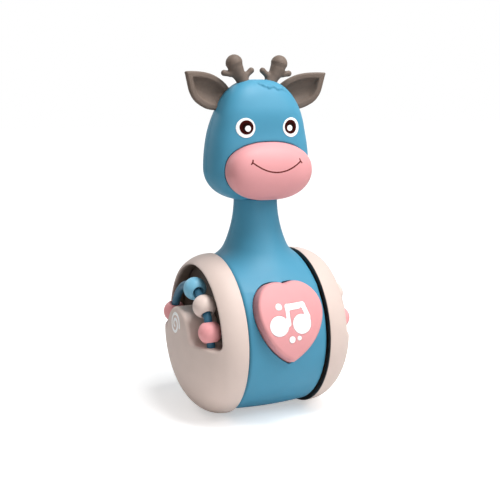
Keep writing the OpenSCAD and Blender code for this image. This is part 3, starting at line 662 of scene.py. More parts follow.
class Signal:
    """A value on a surface. Arithmetic with it adds Math nodes."""

    __add__, __radd__ = math_operator("ADD"), math_operator("ADD", True)
    __sub__, __rsub__ = math_operator("SUBTRACT"), math_operator("SUBTRACT", True)
    __mul__, __rmul__ = math_operator("MULTIPLY"), math_operator("MULTIPLY", True)
    __truediv__, __rtruediv__ = math_operator("DIVIDE"), math_operator("DIVIDE", True)
    __pow__, __rpow__ = math_operator("POWER"), math_operator("POWER", True)
    __abs__, sine = math_operator("ABSOLUTE"), math_operator("SINE")

    def __init__(self, graph: "Graph", socket: bpy.types.NodeSocket) -> None:
        """Wraps an output socket of a graph."""
        self.graph, self.socket = graph, socket

    def beside(self, output: int | str) -> "Signal":
        """Another output of the same node."""
        return Signal(self.graph, self.socket.node.outputs[output])

    def swing(self, reach: float) -> "Signal":
        """A share from 0 to 1 made into a swing about zero."""
        return reach * (self - 0.5)

    def fade(self, start: float, end: float) -> "Signal":
        """Runs smoothly from 0 at one value to 1 at another."""
        return self.graph.add("MapRange", {"interpolation_type": "SMOOTHSTEP"},
                              {"Value": self, "From Min": start, "From Max": end})


class Graph:
    """The node graph of one material or world."""

    def __init__(self, owner: bpy.types.Material | bpy.types.World) -> None:
        """Starts an empty graph.

        Args:
            owner: The material or world.
        """
        owner.use_nodes = True
        self.owner, self.tree = owner, owner.node_tree
        self.tree.nodes.clear()

    def add(self, kind: str, settings: dict | None = None, inputs: dict | None = None,
            output: int | str = 0) -> Signal | None:
        """Adds a node.

        Args:
            kind: Blender's type of the node, without the words that all types start with.
            settings: Its settings, which are set first.
            inputs: Values or signals for its sockets, by name or place.
            output: Which of its outputs to give back.

        Returns:
            That output, or None for a node without outputs.
        """
        node = self.tree.nodes.new("ShaderNode" + kind)
        for name, value in (settings or {}).items():
            setattr(node, name, value)
        for name, value in (inputs or {}).items():
            if isinstance(value, Signal):
                self.tree.links.new(value.socket, node.inputs[name])
            else:
                node.inputs[name].default_value = value
        return Signal(self, node.outputs[output]) if len(node.outputs) else None

    def noise(self, size_mm: float, detail: float = 2, stretch: Point = (1, 1, 1)) -> Signal:
        """Noise from 0 to 1 on the object itself.

        Args:
            size_mm: Size of its features.
            detail: Its levels of detail.
            stretch: Scale along each axis.

        Returns:
            The noise.
        """
        place = self.add("TexCoord", output="Object")
        place = self.add("Mapping", None, {"Vector": place, "Scale": stretch})
        return self.add("TexNoise", None,
                        {"Vector": place, "Scale": 1 / (size_mm * MM), "Detail": detail})

    def place(self) -> tuple[Signal, Signal, Signal]:
        """X, Y and Z on the object, in millimetres."""
        axes = self.add("SeparateXYZ", None, {0: self.add("TexCoord", output="Object")})
        return tuple(axes.beside(axis) / MM for axis in range(3))

    def tint(self, share: Signal, first: Colour | Signal, second: Colour | Signal) -> Signal:
        """Runs from one colour to another."""
        pair = [c if isinstance(c, Signal) else (*c, 1) for c in (first, second)]
        return self.add("Mix", {"data_type": "RGBA"}, {0: share, 6: pair[0], 7: pair[1]}, 2)

    def bump(self, height: Signal, depth_mm: float, strength: float) -> Signal:
        """A normal that follows a height."""
        return self.add("Bump", None,
                        {"Strength": strength, "Distance": depth_mm * MM, "Height": height})

    def finish(self, **inputs: object) -> bpy.types.Material:
        """Ends the graph in a Principled shader.

        Args:
            inputs: Values or signals for its sockets, with _ for a space in their names.

        Returns:
            The material.
        """
        sockets = {name.replace("_", " "): value for name, value in inputs.items()}
        self.add("OutputMaterial", None, {"Surface": self.add("BsdfPrincipled", None, sockets)})
        return self.owner


def shade(colour: Colour, share: float) -> Colour:
    """A colour made darker, below 1, or lighter, above 1."""
    return tuple(min(c * share, 1.0) for c in colour)


@dataclass(frozen=True)
class Finish:
    """A finish with a colour of its own."""

    name: str
    colour: Colour

    def graph(self) -> Graph:
        """An empty graph for the material."""
        return Graph(bpy.data.materials.new(self.name))

    def between(self, graph: Graph, share: Signal, tones: Place) -> Signal:
        """The colour, from a darker to a lighter tone."""
        return graph.tint(share, *(shade(self.colour, tone) for tone in tones))


@dataclass(frozen=True)
class MouldedPlastic(Finish):
    """Matt moulded plastic: a fine spark-eroded grain and a faint flow of tone."""

    roughness: float = 0.5
    tones: Place = (0.95, 1.05)
    flow_mm: float = 9
    flow_detail: float = 3
    sheen_mm: float = 4
    sheen_swing: float = 0.12
    grain_mm: float = 0.35
    grain_swing: float = 0.06
    grain_depth: float = 0.05
    grain_strength: float = 0.25
    specular: float = 0.3

    def coloured(self, graph: Graph) -> Signal:
        """The colour over the surface."""
        return self.between(graph, graph.noise(self.flow_mm, self.flow_detail), self.tones)

    def material(self) -> bpy.types.Material:
        """Makes the node material.

        Returns:
            The material.
        """
        graph = self.graph()
        grain, sheen = graph.noise(self.grain_mm), graph.noise(self.sheen_mm)
        return graph.finish(
            Base_Color=self.coloured(graph), Specular_IOR_Level=self.specular,
            Roughness=(self.roughness + sheen.swing(self.sheen_swing)
                       + grain.swing(self.grain_swing)),
            Normal=graph.bump(grain, self.grain_depth, self.grain_strength))


@dataclass(frozen=True)
class WheelPlasticWithPaintedShade(MouldedPlastic):
    """Moulded plastic of a wheel, with painted shade: near black on the edge that faces the drum,
    dim on the wall in its window.
    """

    # Painted shade: a near black edge that faces the drum, and a dim brown on the window's outer
    # wall
    gap_shade_colour: Colour = (0.02, 0.018, 0.018)
    gap_shade_fade: Place = (0.15, 0.3)
    wall_x: float = 28.6
    wall_shade_depth: float = 3.0
    wall_shade_fade: Place = (0.5, 0.2)
    wall_shade_colour: Colour = (0.16, 0.12, 0.095)

    def coloured(self, graph: Graph) -> Signal:
        """The colour over the surface, with painted shade on the inner edge and on the window's
        wall.

        Args:
            graph: The material's graph.

        Returns:
            The colour.
        """
        x, y, z = graph.place()
        across, off = abs(x), (y ** 2 + (z - AXLE_Z) ** 2) ** 0.5
        # Painted shade: the outer wall of the window is dimmed towards a dark brown, deeper in
        far, near = self.wall_shade_fade
        wall = off.fade(WINDOW_R - far, WINDOW_R - near)
        wall = wall * across.fade(self.wall_x, self.wall_x - self.wall_shade_depth)
        wall = wall * off.fade(WINDOW_R + far, WINDOW_R + near)
        wall_shaded = graph.tint(wall, super().coloured(graph), self.wall_shade_colour)
        # Painted shade: the edge that faces the drum goes near black, for the shade in the gap
        edge = across.fade(*(WHEEL_RIM_X + place for place in self.gap_shade_fade))
        return graph.tint(edge, self.gap_shade_colour, wall_shaded)


@dataclass(frozen=True)
class SoftRubber(MouldedPlastic):
    """Soft rubber: mottled at two sizes, very matt and finely pitted."""

    roughness: float = 0.62
    tones: Place = (0.91, 1.09)
    grain_mm: float = 0.5
    grain_depth: float = 0.1
    # Share, size and detail of each mottle
    mottles: tuple = ((0.6, 3.5, 4), (0.4, 0.9, 3))
    mottle_span: Place = (0.25, 0.75)

    def coloured(self, graph: Graph) -> Signal:
        """The mottled colour over the surface."""
        coarse, fine = (share * graph.noise(*size) for share, *size in self.mottles)
        return self.between(graph, (coarse + fine).fade(*self.mottle_span), self.tones)


@dataclass(frozen=True)
class Ink(Finish):
    """Printed ink with a faint screen grain."""

    roughness: float = 0.45
    specular: float = 0.5
    tones: Place = (0.96, 1.03)
    grain_mm: float = 0.25
    grain_swing: float = 0.1
    grain_depth: float = 0.02
    grain_strength: float = 0.2

    def material(self) -> bpy.types.Material:
        """Makes the node material.

        Returns:
            The material.
        """
        graph = self.graph()
        grain = graph.noise(self.grain_mm)
        return graph.finish(
            Base_Color=self.between(graph, grain, self.tones), Specular_IOR_Level=self.specular,
            Roughness=self.roughness + grain.swing(self.grain_swing),
            Normal=graph.bump(grain, self.grain_depth, self.grain_strength))


@dataclass(frozen=True)
class PupilInk(Ink):
    """Pupil ink: nearly black in the middle and warm brown at the edge."""

    roughness: float = 0.5
    specular: float = 0.03
    grain_swing: float = 0.08
    edge: Colour = (0.045, 0.004, 0.003)
    edge_span: Place = (0.45, 0.95)

    def material(self) -> bpy.types.Material:
        """Makes the node material.

        Returns:
            The material.
        """
        graph = self.graph()
        x, _, z = graph.place()
        off = ((abs(x) - PUPIL_PLACE[0]) ** 2 + (z - PUPIL_PLACE[1]) ** 2) ** 0.5
        outer = off.fade(*(share * PUPIL_R for share in self.edge_span))
        return graph.finish(
            Base_Color=graph.tint(outer, self.colour, self.edge), Specular_IOR_Level=self.specular,
            Roughness=self.roughness + graph.noise(self.grain_mm).swing(self.grain_swing))


@dataclass(frozen=True)
class Metal(Finish):
    """Bare metal with fine drawn lines and dull spots."""

    roughness: float = 0.35
    stretch: Point = (0.08, 1, 1)
    tones: Place = (0.85, 1.05)
    detail: float = 3
    spot_mm: float = 3
    spot_swing: float = 0.1
    line_mm: float = 0.25
    line_swing: float = 0.2
    line_depth: float = 0.02
    line_strength: float = 0.2

    def material(self) -> bpy.types.Material:
        """Makes the node material.

        Returns:
            The material.
        """
        graph = self.graph()
        lines = graph.noise(self.line_mm, self.detail, self.stretch)
        spots = graph.noise(self.spot_mm, self.detail)
        return graph.finish(
            Base_Color=self.between(graph, spots, self.tones), Metallic=1.0,
            Roughness=(self.roughness + lines.swing(self.line_swing)
                       + spots.swing(self.spot_swing)),
            Normal=graph.bump(lines, self.line_depth, self.line_strength))


@dataclass(frozen=True)
class BoardLacquer(Finish):
    """Lacquer of a circuit board, with paler tracks under it."""

    roughness: float = 0.35
    track: Colour = (0.03, 0.2, 0.07)
    track_span: Place = (0.55, 0.75)
    track_roughness: float = 0.1
    track_depth: float = 0.05
    track_strength: float = 0.4
    slant: float = 0.6
    pace: float = 3.0
    wander: float = 0.8
    wander_mm: float = 5

    def material(self) -> bpy.types.Material:
        """Makes the node material.

        Returns:
            The material.
        """
        graph = self.graph()
        x, _, z = graph.place()
        lines = x + self.slant * z + self.wander * graph.noise(self.wander_mm, 1)
        tracks = (lines * self.pace).sine().fade(*self.track_span)
        return graph.finish(
            Base_Color=graph.tint(tracks, self.colour, self.track),
            Roughness=self.roughness + self.track_roughness * tracks,
            Normal=graph.bump(tracks, self.track_depth, self.track_strength))


class Palette:
    """Every finish of the toy, each made once."""

    def __init__(self) -> None:
        """Makes the materials."""
        even, bead = (1, 1, 1), 0.42
        self.blue = MouldedPlastic("deer_blue_plastic", (0.064, 0.28, 0.425)).material()
        self.pink = MouldedPlastic("blush_pink_plastic", (0.73, 0.325, 0.335)).material()
        self.wheel = WheelPlasticWithPaintedShade("wheel_beige_plastic_painted_shade", (0.67, 0.545, 0.49)).material()
        # Painted shade: the plates are coloured dark brown to stand in for the shade inside the
        # wheels' windows
        self.plate = MouldedPlastic("plate_brown_painted_shade", (0.1, 0.072, 0.055), 0.55).material()
        self.brown = SoftRubber("antler_brown_rubber", (0.155, 0.115, 0.092)).material()
        self.white = Ink("white_ink", (0.97, 0.97, 0.97)).material()
        self.smile = Ink("smile_red_ink", (0.12, 0.018, 0.016), specular=0.1).material()
        self.pupil = PupilInk("pupil_brown_ink", (0.009, 0.0015, 0.001)).material()
        self.lens = MouldedPlastic("note_white_plastic", (0.95, 0.95, 0.95), 0.4,
                                   (0.98, 1.02)).material()
        self.pink_bead = MouldedPlastic("bead_pink_plastic", (0.86, 0.37, 0.38), bead).material()
        self.beige_bead = MouldedPlastic("bead_beige_plastic", (0.76, 0.62, 0.56), bead).material()
        self.blue_bead = MouldedPlastic("bead_blue_plastic", (0.2, 0.5, 0.68), bead).material()
        self.rod = MouldedPlastic("rod_blue_plastic", (0.04, 0.15, 0.24), bead).material()
        self.steel = Metal("screw_steel", (0.6, 0.61, 0.63)).material()
        self.weight = Metal("weight_steel", (0.2, 0.2, 0.21), 0.55, even).material()
        self.brass = Metal("contact_brass", (0.72, 0.5, 0.2)).material()
        self.cell = Metal("cell_nickel", (0.72, 0.72, 0.73), 0.28, even).material()
        self.speaker = Metal("speaker_metal", (0.12, 0.12, 0.13), 0.5).material()
        self.board = BoardLacquer("board_green_lacquer", (0.012, 0.11, 0.035)).material()
        self.black = MouldedPlastic("chip_black_plastic", (0.012, 0.012, 0.013), 0.4).material()
        self.wire = SoftRubber("wire_red_cover", (0.45, 0.03, 0.03)).material()
        self.lamp = MouldedPlastic("lamp_clear_plastic", (0.95, 0.88, 0.7), 0.2).material()


# Sub-assemblies


def put(skin: Skin, name: str, body: str, finish: bpy.types.Material, slot: str,
        nodes: Sequence[str] = ()) -> None:
    """Puts a piece on a body of the toy.

    Args:
        skin: The piece's mesh.
        name: Its name.
        body: The body that it moves with.
        finish: Its material.
        slot: The record's slot of that finish; not used.
        nodes: The nodes that it stands for.
    """
    piece = skin.to_object(name)
    piece.data.materials.append(finish)
    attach(piece, body)
    if nodes:
        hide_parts(*nodes)
    LOG.info("%s: %d faces on %s", name, len(skin.faces), body)


def put_shells(shell: Shape, search: Search, finish: bpy.types.Material,
               pieces: dict[str, str]) -> None:
    """Parts a form in the plane of the axle and puts both blue shells on the drum's body.

    Args:
        shell: Field of both shells together.
        search: Where they lie, and how finely each is meshed.
        finish: Their material.
        pieces: The names of the front and rear piece, with the nodes that they stand for.
    """
    low, high, step, wanted = search
    overlap = 1
    for way, (name, node) in zip((1, -1), pieces.items()):

        def half(at: Spots) -> Array:
            """Distance to one of the shells."""
            return np.maximum(shell(at), way * at.y + SEAM)

        start = low if way > 0 else (low[0], -overlap, low[2])
        end = high if way < 0 else (high[0], overlap, high[2])
        skin = Skin.of_field(half, start, end, step, wanted, shell)
        put(skin, name, "body", finish, "blue_shell", [node])


@dataclass
class HeartButton:
    """The heart that is pressed, and the white note and dots that fill it."""

    palette: Palette
    half_width: float = 14.1
    half_height: float = 16.3
    tilt: float = 18.0
    face_r: float = 37.8
    edge: float = 1.1
    wall: float = 2.2
    lip: float = 0.9
    lip_radii: Place = (28.7, 30.3)
    gap: float = 0.35
    opening_floor: float = 22.0
    lobe_mid: Place = (0.29, 0.26)
    lobe_size: Place = (0.71, 0.74)
    lobe_end: float = -15.0
    lobe_steps: int = 14
    flank_steps: int = 12
    pull: Place = (0.795, -0.64)
    sink: float = 0.3
    note_gap: float = 0.03
    note_bevel: float = 0.15
    note_rise: float = 0.1
    note_edge: float = 0.12
    note_shift: Place = (-0.6, -0.4)
    heads: tuple = ((-5.8, -1.3, 4.1), (4.2, -1.3, 4.0))
    dots: tuple = ((-4.9, 6.3, 1.45), (-0.6, -7.1, 1.35), (2.6, -6.8, 0.95))
    # Start, end, radius and fillet of each line of the note
    lines: tuple = (((-1.45, -1), (-1.45, 6.3), 0.85, 0.7), ((-1.2, 6.2), (5.6, 6.6), 1.0, 0.5),
                    ((-1.2, 5.4), (3.5, 5.7), 0.9, 0.5), ((5.7, 6.2), (7.2, 1.5), 1.05, 0.8),
                    ((7.2, 1.5), (7.3, -1.2), 0.95, 0.4))
    cap_search: Search = ((-16.5, -39, 18), (16.5, -20, 64), 0.4, 26000)
    note_search: Search = ((-11, -39, 34), (9.5, -28, 56), 0.2, 14000)

    @cached_property
    def outline(self) -> Array:
        """The heart's outline.

        Returns:
            Its points, in order.
        """
        notch = math.degrees(math.acos(-self.lobe_mid[0] / self.lobe_size[0]))
        turns = np.radians(np.linspace(notch, self.lobe_end, self.lobe_steps))
        lobe = np.column_stack([self.lobe_mid[0] + self.lobe_size[0] * np.cos(turns),
                                self.lobe_mid[1] + self.lobe_size[1] * np.sin(turns)])
        t = np.linspace(0, 1, self.flank_steps)[1:, None]
        tip = np.array([0, -1])
        flank = (1 - t) ** 2 * lobe[-1] + 2 * t * (1 - t) * np.array(self.pull) + t ** 2 * tip
        half = np.concatenate([lobe, flank])
        full = np.concatenate([half, half[-2:0:-1] * [-1, 1]])
        return full * [self.half_width, self.half_height]

    def flat(self, at: Spots) -> tuple[Array, Array, Array]:
        """Distance to the outline, the way up the heart and the way out of it."""
        up, out = at.turned(self.tilt)
        return outline_distance(at.x, up, self.outline), up, out

    def note(self, u: Array, v: Array) -> Array:
        """Distance to the note and its dots.

        Args:
            u: Places across the heart.
            v: Places up the heart.

        Returns:
            Distance, negative inside.
        """
        u, v = u - self.note_shift[0], v - self.note_shift[1]
        flat = Spots(u, v, np.zeros_like(u))
        first, *others = (np.hypot(u - a, v - b) - r for a, b, r in (*self.heads, *self.dots))
        for start, end, radius, blend in self.lines:
            line = stroke(flat, (*start, 0), (*end, 0), (radius, radius))
            first = soft_join(first, line, blend)
        return join(first, *others)

    def opening(self, at: Spots) -> Array:
        """Distance to the opening in the drum that the heart moves in."""
        flat, _, out = self.flat(at)
        return np.maximum(flat - self.gap, self.opening_floor - out)

    def cap(self, at: Spots) -> Array:
        """Distance to the heart's cap with its lip and the hollow for the note.

        Args:
            at: Places.

        Returns:
            Distance, negative inside.
        """
        flat, up, out = self.flat(at)
        lip = np.maximum(flat - self.lip, at.off - self.lip_radii[1])
        body = join(round_meet(flat, at.off - self.face_r, self.edge), lip)
        hollow = np.maximum(flat + self.wall, at.off - self.face_r + self.wall)
        body = meet(body, self.lip_radii[0] - at.off, -out, -hollow)
        seat = np.maximum(self.note(at.x, up) - self.note_gap, self.face_r - self.sink - at.off)
        return soft_cut(body, seat, self.note_bevel)

    def symbols(self, at: Spots) -> Array:
        """Distance to the note and dots.

        Args:
            at: Places.

        Returns:
            Distance, negative inside.
        """
        up, out = at.turned(self.tilt)
        body = round_meet(self.note(at.x, up), at.off - self.face_r - self.note_rise,
                          self.note_edge)
        return meet(body, self.face_r - self.sink - at.off, -out)

    def build(self) -> None:
        """Makes the heart and its note."""
        put(Skin.of_field(self.cap, *self.cap_search), "heart_cap", "heart",
            self.palette.pink, "pink_shell", ["heart_button"])
        put(Skin.of_field(self.symbols, *self.note_search), "note_and_dots", "heart",
            self.palette.lens, "white_lens", ["note_lens"])


@dataclass
class DrumAndNeck:
    """The drum with the neck that grows out of it, in a front and a rear shell, and its door."""

    palette: Palette
    heart: HeartButton
    half_width: float = 17.8
    radius: float = 33.3
    crown: float = 0.7
    crown_half: float = 16.3
    edge: float = 2.0
    cavity_r: float = 30.6
    cavity_half: float = 15.8
    wall: float = 2.0
    neck_r: float = 9.2
    neck_h: float = 91.0
    neck_edge: float = 0.4
    neck_roof: float = 1.0
    flare: float = 48.5
    flare_half: float = 15.6
    foot_z: float = 56.0
    blend: float = 5.0
    collar_r: float = 7.8
    collar_root: float = 2.0
    flange_r: float = 9.2
    flange_front: float = -6.8
    flange_top: float = 95.8
    bore_r: float = 5.8
    bore_root: float = 3.0
    axle_r: float = 2.05
    axle_boss_r: float = 5.0
    axle_boss_start: float = 8.8
    grille_turn: float = 137.0
    grille_rings: tuple = ((1, 0.0), (6, 3.2), (12, 6.4))
    grille_r: float = 0.8
    grille_floor: float = 26.0
    speaker_radii: Place = (10.1, 11.5)
    speaker_back: float = 23.5
    door_half: Place = (14.5, 8.5)
    door_gap: float = 0.15
    door_in_r: float = 31.0
    door_corner: float = 1.0
    door_edge: float = 0.35
    door_lift: float = 0.1
    ledge: float = 1.2
    ledge_t: float = 1.4
    ridges: tuple = (-3.6, -2.4, -1.2, 0.0, 1.2, 2.4, 3.6)
    ridge_half: float = 4.5
    ridge_r: float = 0.4
    ridge_sink: float = 0.1
    ridge_blend: float = 0.3
    door_well_r: float = 2.25
    door_well_floor: float = 0.6
    door_hole_r: float = 1.2
    heart_bevel: float = 0.4
    bevel: float = 0.25
    shell_search: Search = ((-19, -35, -1), (19, 35, 97.5), 0.55, 46000)
    door_search: Search = ((-15.5, 27, 20), (15.5, 35, 42), 0.3, 16000)

    def drum(self, at: Spots) -> Array:
        """Distance to the drum.

        Args:
            at: Places.

        Returns:
            Distance, negative inside.
        """
        crown = self.crown * (1 - np.minimum(np.abs(at.x) / self.crown_half, 1) ** 2)
        top = at.off - (self.radius - self.crown + crown)
        return round_meet(np.abs(at.x) - self.half_width, top, self.edge)

    def neck(self, at: Spots, inset: float) -> Array:
        """Distance to the flaring neck, or to its hollow.

        Args:
            at: Places.
            inset: Thickness of the wall outside the hollow.

        Returns:
            Distance, negative inside.
        """
        drop = self.neck_h - np.clip(at.z, self.foot_z, self.neck_h)
        root = np.sqrt(self.flare ** 2 - drop ** 2)
        side = at.stem - (self.neck_r + self.flare - root - inset)
        side = side / np.hypot(1, drop / root)
        return meet(side, np.abs(at.x) - self.flare_half, self.foot_z - at.z)

    def outside(self, at: Spots) -> Array:
        """Distance to the outer form without its openings.

        Args:
            at: Places.

        Returns:
            Distance, negative inside.
        """
        neck = round_meet(self.neck(at, 0), at.z - self.neck_h, self.neck_edge)
        form = soft_join(self.drum(at), neck, self.blend)
        collar = meet(at.stem - self.collar_r, at.z - COLLAR_TOP,
                      self.neck_h - self.collar_root - at.z)
        flange = meet(at.stem - self.flange_r, at.z - self.flange_top, COLLAR_TOP - at.z,
                      self.flange_front - at.y)
        return join(form, collar, flange)

    def hollow(self, at: Spots) -> Array:
        """Distance to the hollow, with the posts, bosses and seats left standing in it.

        Args:
            at: Places.

        Returns:
            Distance, negative inside.
        """
        room = np.maximum(at.off - self.cavity_r, np.abs(at.x) - self.cavity_half)
        neck = np.maximum(self.neck(at, self.wall), at.z - self.neck_h + self.neck_roof)
        bore = np.maximum(at.stem - self.bore_r, self.neck_h - self.bore_root - at.z)
        posts = [POST_R - at.bar(*place) for place in DRUM_SCREWS]
        boss = np.where(np.abs(at.x) < self.axle_boss_start, -FAR, self.axle_boss_r - at.off)
        along, out = at.turned(self.grille_turn)
        ring = np.hypot(at.x, along)
        seat = meet(self.speaker_radii[0] - ring, ring - self.speaker_radii[1],
                    self.speaker_back - out)
        along, out = at.turned(DOOR_TURN)
        pad = meet(np.abs(along) - self.door_half[1] - self.ledge,
                   self.door_in_r - self.ledge_t - at.off, -out)
        return meet(join(room, neck, bore), *posts, boss, -seat, -pad)

    def openings(self, at: Spots) -> Array:
        """Distance to the axle hole, screw wells, sound holes and door opening.

        Args:
            at: Places.

        Returns:
            Distance, negative inside.
        """
        cuts = [at.off - self.axle_r]
        cuts += [np.maximum(at.bar(*place) - WELL_R, SCREW_SEAT_Y - at.y) for place in DRUM_SCREWS]
        along, out = at.turned(self.grille_turn)
        for count, ring in self.grille_rings:
            for i in range(1, count + 1):
                turn = 2 * math.pi * i / count
                hole = np.hypot(at.x - ring * math.cos(turn), along - ring * math.sin(turn))
                cuts.append(np.maximum(hole - self.grille_r, self.grille_floor - out))
        along, out = at.turned(DOOR_TURN)
        half_x, half_up = self.door_half
        door = meet(np.abs(at.x) - half_x - self.door_gap, np.abs(along) - half_up - self.door_gap,
                    self.door_in_r - at.off, -out)
        return join(*cuts, door)

    def shell(self, at: Spots) -> Array:
        """Distance to both shells together.

        Args:
            at: Places.

        Returns:
            Distance, negative inside.
        """
        form = np.maximum(self.outside(at), -self.hollow(at))
        form = soft_cut(form, self.heart.opening(at), self.heart_bevel)
        return soft_cut(form, self.openings(at), self.bevel)

    def door(self, at: Spots) -> Array:
        """Distance to the battery door, with finger ridges between its two screws.

        Args:
            at: Places.

        Returns:
            Distance, negative inside.
        """
        along, out = at.turned(DOOR_TURN)
        block = round_meet(np.abs(at.x) - self.door_half[0], np.abs(along) - self.door_half[1],
                           self.door_corner)
        skin = round_meet(block, self.drum(at), self.door_edge)
        rolled, top = Spots(at.x, along, at.off), self.radius - self.ridge_sink
        for place in self.ridges:
            ridge = stroke(rolled, (-self.ridge_half, place, top), (self.ridge_half, place, top),
                           (self.ridge_r, self.ridge_r))
            skin = soft_join(skin, ridge, self.ridge_blend)
        form = meet(skin, self.door_in_r + self.door_lift - at.off, -out)
        for side in Side:
            hole = np.hypot(at.x - side.value * DOOR_SCREW_X, along)
            well = np.maximum(hole - self.door_well_r,
                              self.door_in_r + self.door_well_floor - at.off)
            form = np.maximum(soft_cut(form, well, self.bevel), self.door_hole_r - hole)
        return form

    def build(self) -> None:
        """Makes both shells and the battery door."""
        put_shells(self.shell, self.shell_search, self.palette.blue,
                   {"drum_front_shell": "body_front_shell", "drum_rear_shell": "body_rear_shell"})
        put(Skin.of_field(self.door, *self.door_search), "battery_cover", "body",
            self.palette.blue, "blue_shell", ["battery_door"])


@dataclass
class Head:
    """The head in two shells, with the muzzle, the printed eyes and the smile."""

    palette: Palette
    form: Egg = Egg((0, 0, 104), 22.2, 14.3, 17.0, 36.0, 14.0,
                    (3.1, 2.3), (1.85, 2.8), (2.1, 2.7), 1.4)
    muzzle: Egg = Egg((0, -11.8, 103.1), 18.6, 9.6, 4.8, 11.9, 11.9,
                      (3.3, 2.5), (2.3, 2.25), (1.9, 2.5))
    wall: float = 2.0
    muzzle_gap: float = 0.15
    muzzle_lift: float = 0.1
    muzzle_edge: float = 0.3
    seat_y: float = -9.5
    seat_rim: float = 2.0
    neck_r: float = 9.3
    neck_top: float = 91.1
    collar_r: float = 7.9
    collar_room: float = 1.2
    floor_r: float = 12.2
    floor_drop: float = 0.1
    recess_bevel: float = 0.5
    bevel: float = 0.3
    tuft: tuple = ((-1.7, -7.6, 138.1), (-0.2, -8.2, 137.6), (1.8, -8.85, 136.8),
                   (4.3, -8.5, 137.1), (5.7, -9.1, 136.1), (7.9, -8.45, 136.3),
                   (9.6, -8.55, 135.3))
    tuft_r: float = 0.45
    tuft_blend: float = 0.7
    eye_place: Place = (10.15, 120.7)
    eye_r: float = 3.95
    glint_place: Place = (9.35, 120.4)
    glint_r: float = 1.22
    print_lift: float = 0.06
    print_t: float = 0.1
    smile_half: float = 10.6
    smile_low: float = 103.2
    smile_sag: float = 4.1
    smile_line: float = 0.29
    smile_t: float = 0.06
    tick: tuple = ((-0.25, 1.25), (-0.1, 0.55), (0.1, 0.05), (0.45, -0.4), (0.85, -0.75))
    smile_steps: int = 41
    shell_search: Search = ((-24, -17, 88), (24, 19, 142), 0.6, 30000)
    muzzle_search: Search = ((-21, -28, 88), (21, -6, 119), 0.5, 24000)

    def outside(self, at: Spots) -> Array:
        """Distance to the head with its tuft.

        Args:
            at: Places.

        Returns:
            Distance, negative inside.
        """
        form = self.form(at)
        for start, end in zip(self.tuft, self.tuft[1:]):
            lock = stroke(at, start, end, (self.tuft_r, self.tuft_r))
            form = soft_join(form, lock, self.tuft_blend)
        return form

    def neck_hole(self, at: Spots) -> Array:
        """Distance to the hole that the neck and its collar go in."""
        return join(np.maximum(at.stem - self.neck_r, at.z - self.neck_top),
                    np.maximum(at.stem - self.collar_r, at.z - COLLAR_TOP - self.collar_room))

    def shell(self, at: Spots) -> Array:
        """Distance to both shells together.

        Args:
            at: Places.

        Returns:
            Distance, negative inside.
        """
        floor = np.where(at.z > COLLAR_TOP - self.floor_drop, -FAR, self.floor_r - at.stem)
        screw_x, screw_z = HEAD_SCREWS[1]
        well = np.hypot(np.abs(at.x) - screw_x, at.z - screw_z)
        middle = Spots(at.x, np.full_like(at.y, self.muzzle.centre[1]), at.z)
        seat = meet(self.seat_y - at.y, at.y - self.seat_y - self.seat_rim,
                    self.muzzle.grown(self.seat_rim)(middle))
        hollow = meet(self.form.grown(-self.wall)(at), floor, POST_R - well, -seat)
        form = np.maximum(self.outside(at), -hollow)
        recess = np.maximum(self.muzzle.grown(self.muzzle_gap)(at), at.y - self.seat_y)
        form = soft_cut(form, recess, self.recess_bevel)
        form = soft_cut(form, self.neck_hole(at), self.bevel)
        return soft_cut(form, np.maximum(well - WELL_R, SCREW_SEAT_Y - at.y), self.bevel)

    def snout(self, at: Spots) -> Array:
        """Distance to the hollow muzzle."""
        back = at.y - self.seat_y + self.muzzle_lift
        return meet(round_meet(self.muzzle(at), back, self.muzzle_edge),
                    -self.muzzle.grown(-self.wall)(at), -self.neck_hole(at))

    def _smile(self) -> Skin:
        """The line of the mouth with a tick at each end.

        Returns:
            The printed lines.
        """
        across = np.linspace(-1, 1, self.smile_steps)
        paths = [np.column_stack([self.smile_half * across,
                                  self.smile_low + self.smile_sag * across ** 2])]
        for side in Side:
            corner = side.value * self.smile_half, self.smile_low + self.smile_sag
            paths.append(np.array(self.tick) * [side.value, 1] + corner)
        return Skin.joined([print_line(path, self.smile_line, self.smile_t, self.muzzle.printed)
                            for path in paths])

    def build(self) -> None:
        """Makes the head, the muzzle and the prints."""
        put_shells(self.shell, self.shell_search, self.palette.blue,
                   {"head_face_shell": "head_front_shell", "head_back_shell": "head_rear_shell"})
        put(Skin.of_field(self.snout, *self.muzzle_search), "muzzle_shell", "body",
            self.palette.pink, "pink_shell", ["muzzle"])
        white, dark = (self.palette.white, "white_print"), (self.palette.pupil, "dark_print")
        layers = ((self.eye_place, self.eye_r, "white", white, ["eye"]),
                  (PUPIL_PLACE, PUPIL_R, "pupil", dark, ["pupil"]),
                  (self.glint_place, self.glint_r, "glint", white, []))
        for side in Side:
            word = side.word
            for layer, (place, radius, name, look, nodes) in enumerate(layers):
                disc = print_disc(place, radius, self.print_lift + layer * self.print_t,
                                  self.print_t, self.form.printed)
                put(disc.on(side), f"{word}_eye_{name}", "body", *look,
                    [f"{word}_{node}" for node in nodes])
        put(self._smile(), "smile_print", "body", self.palette.smile, "dark_print")


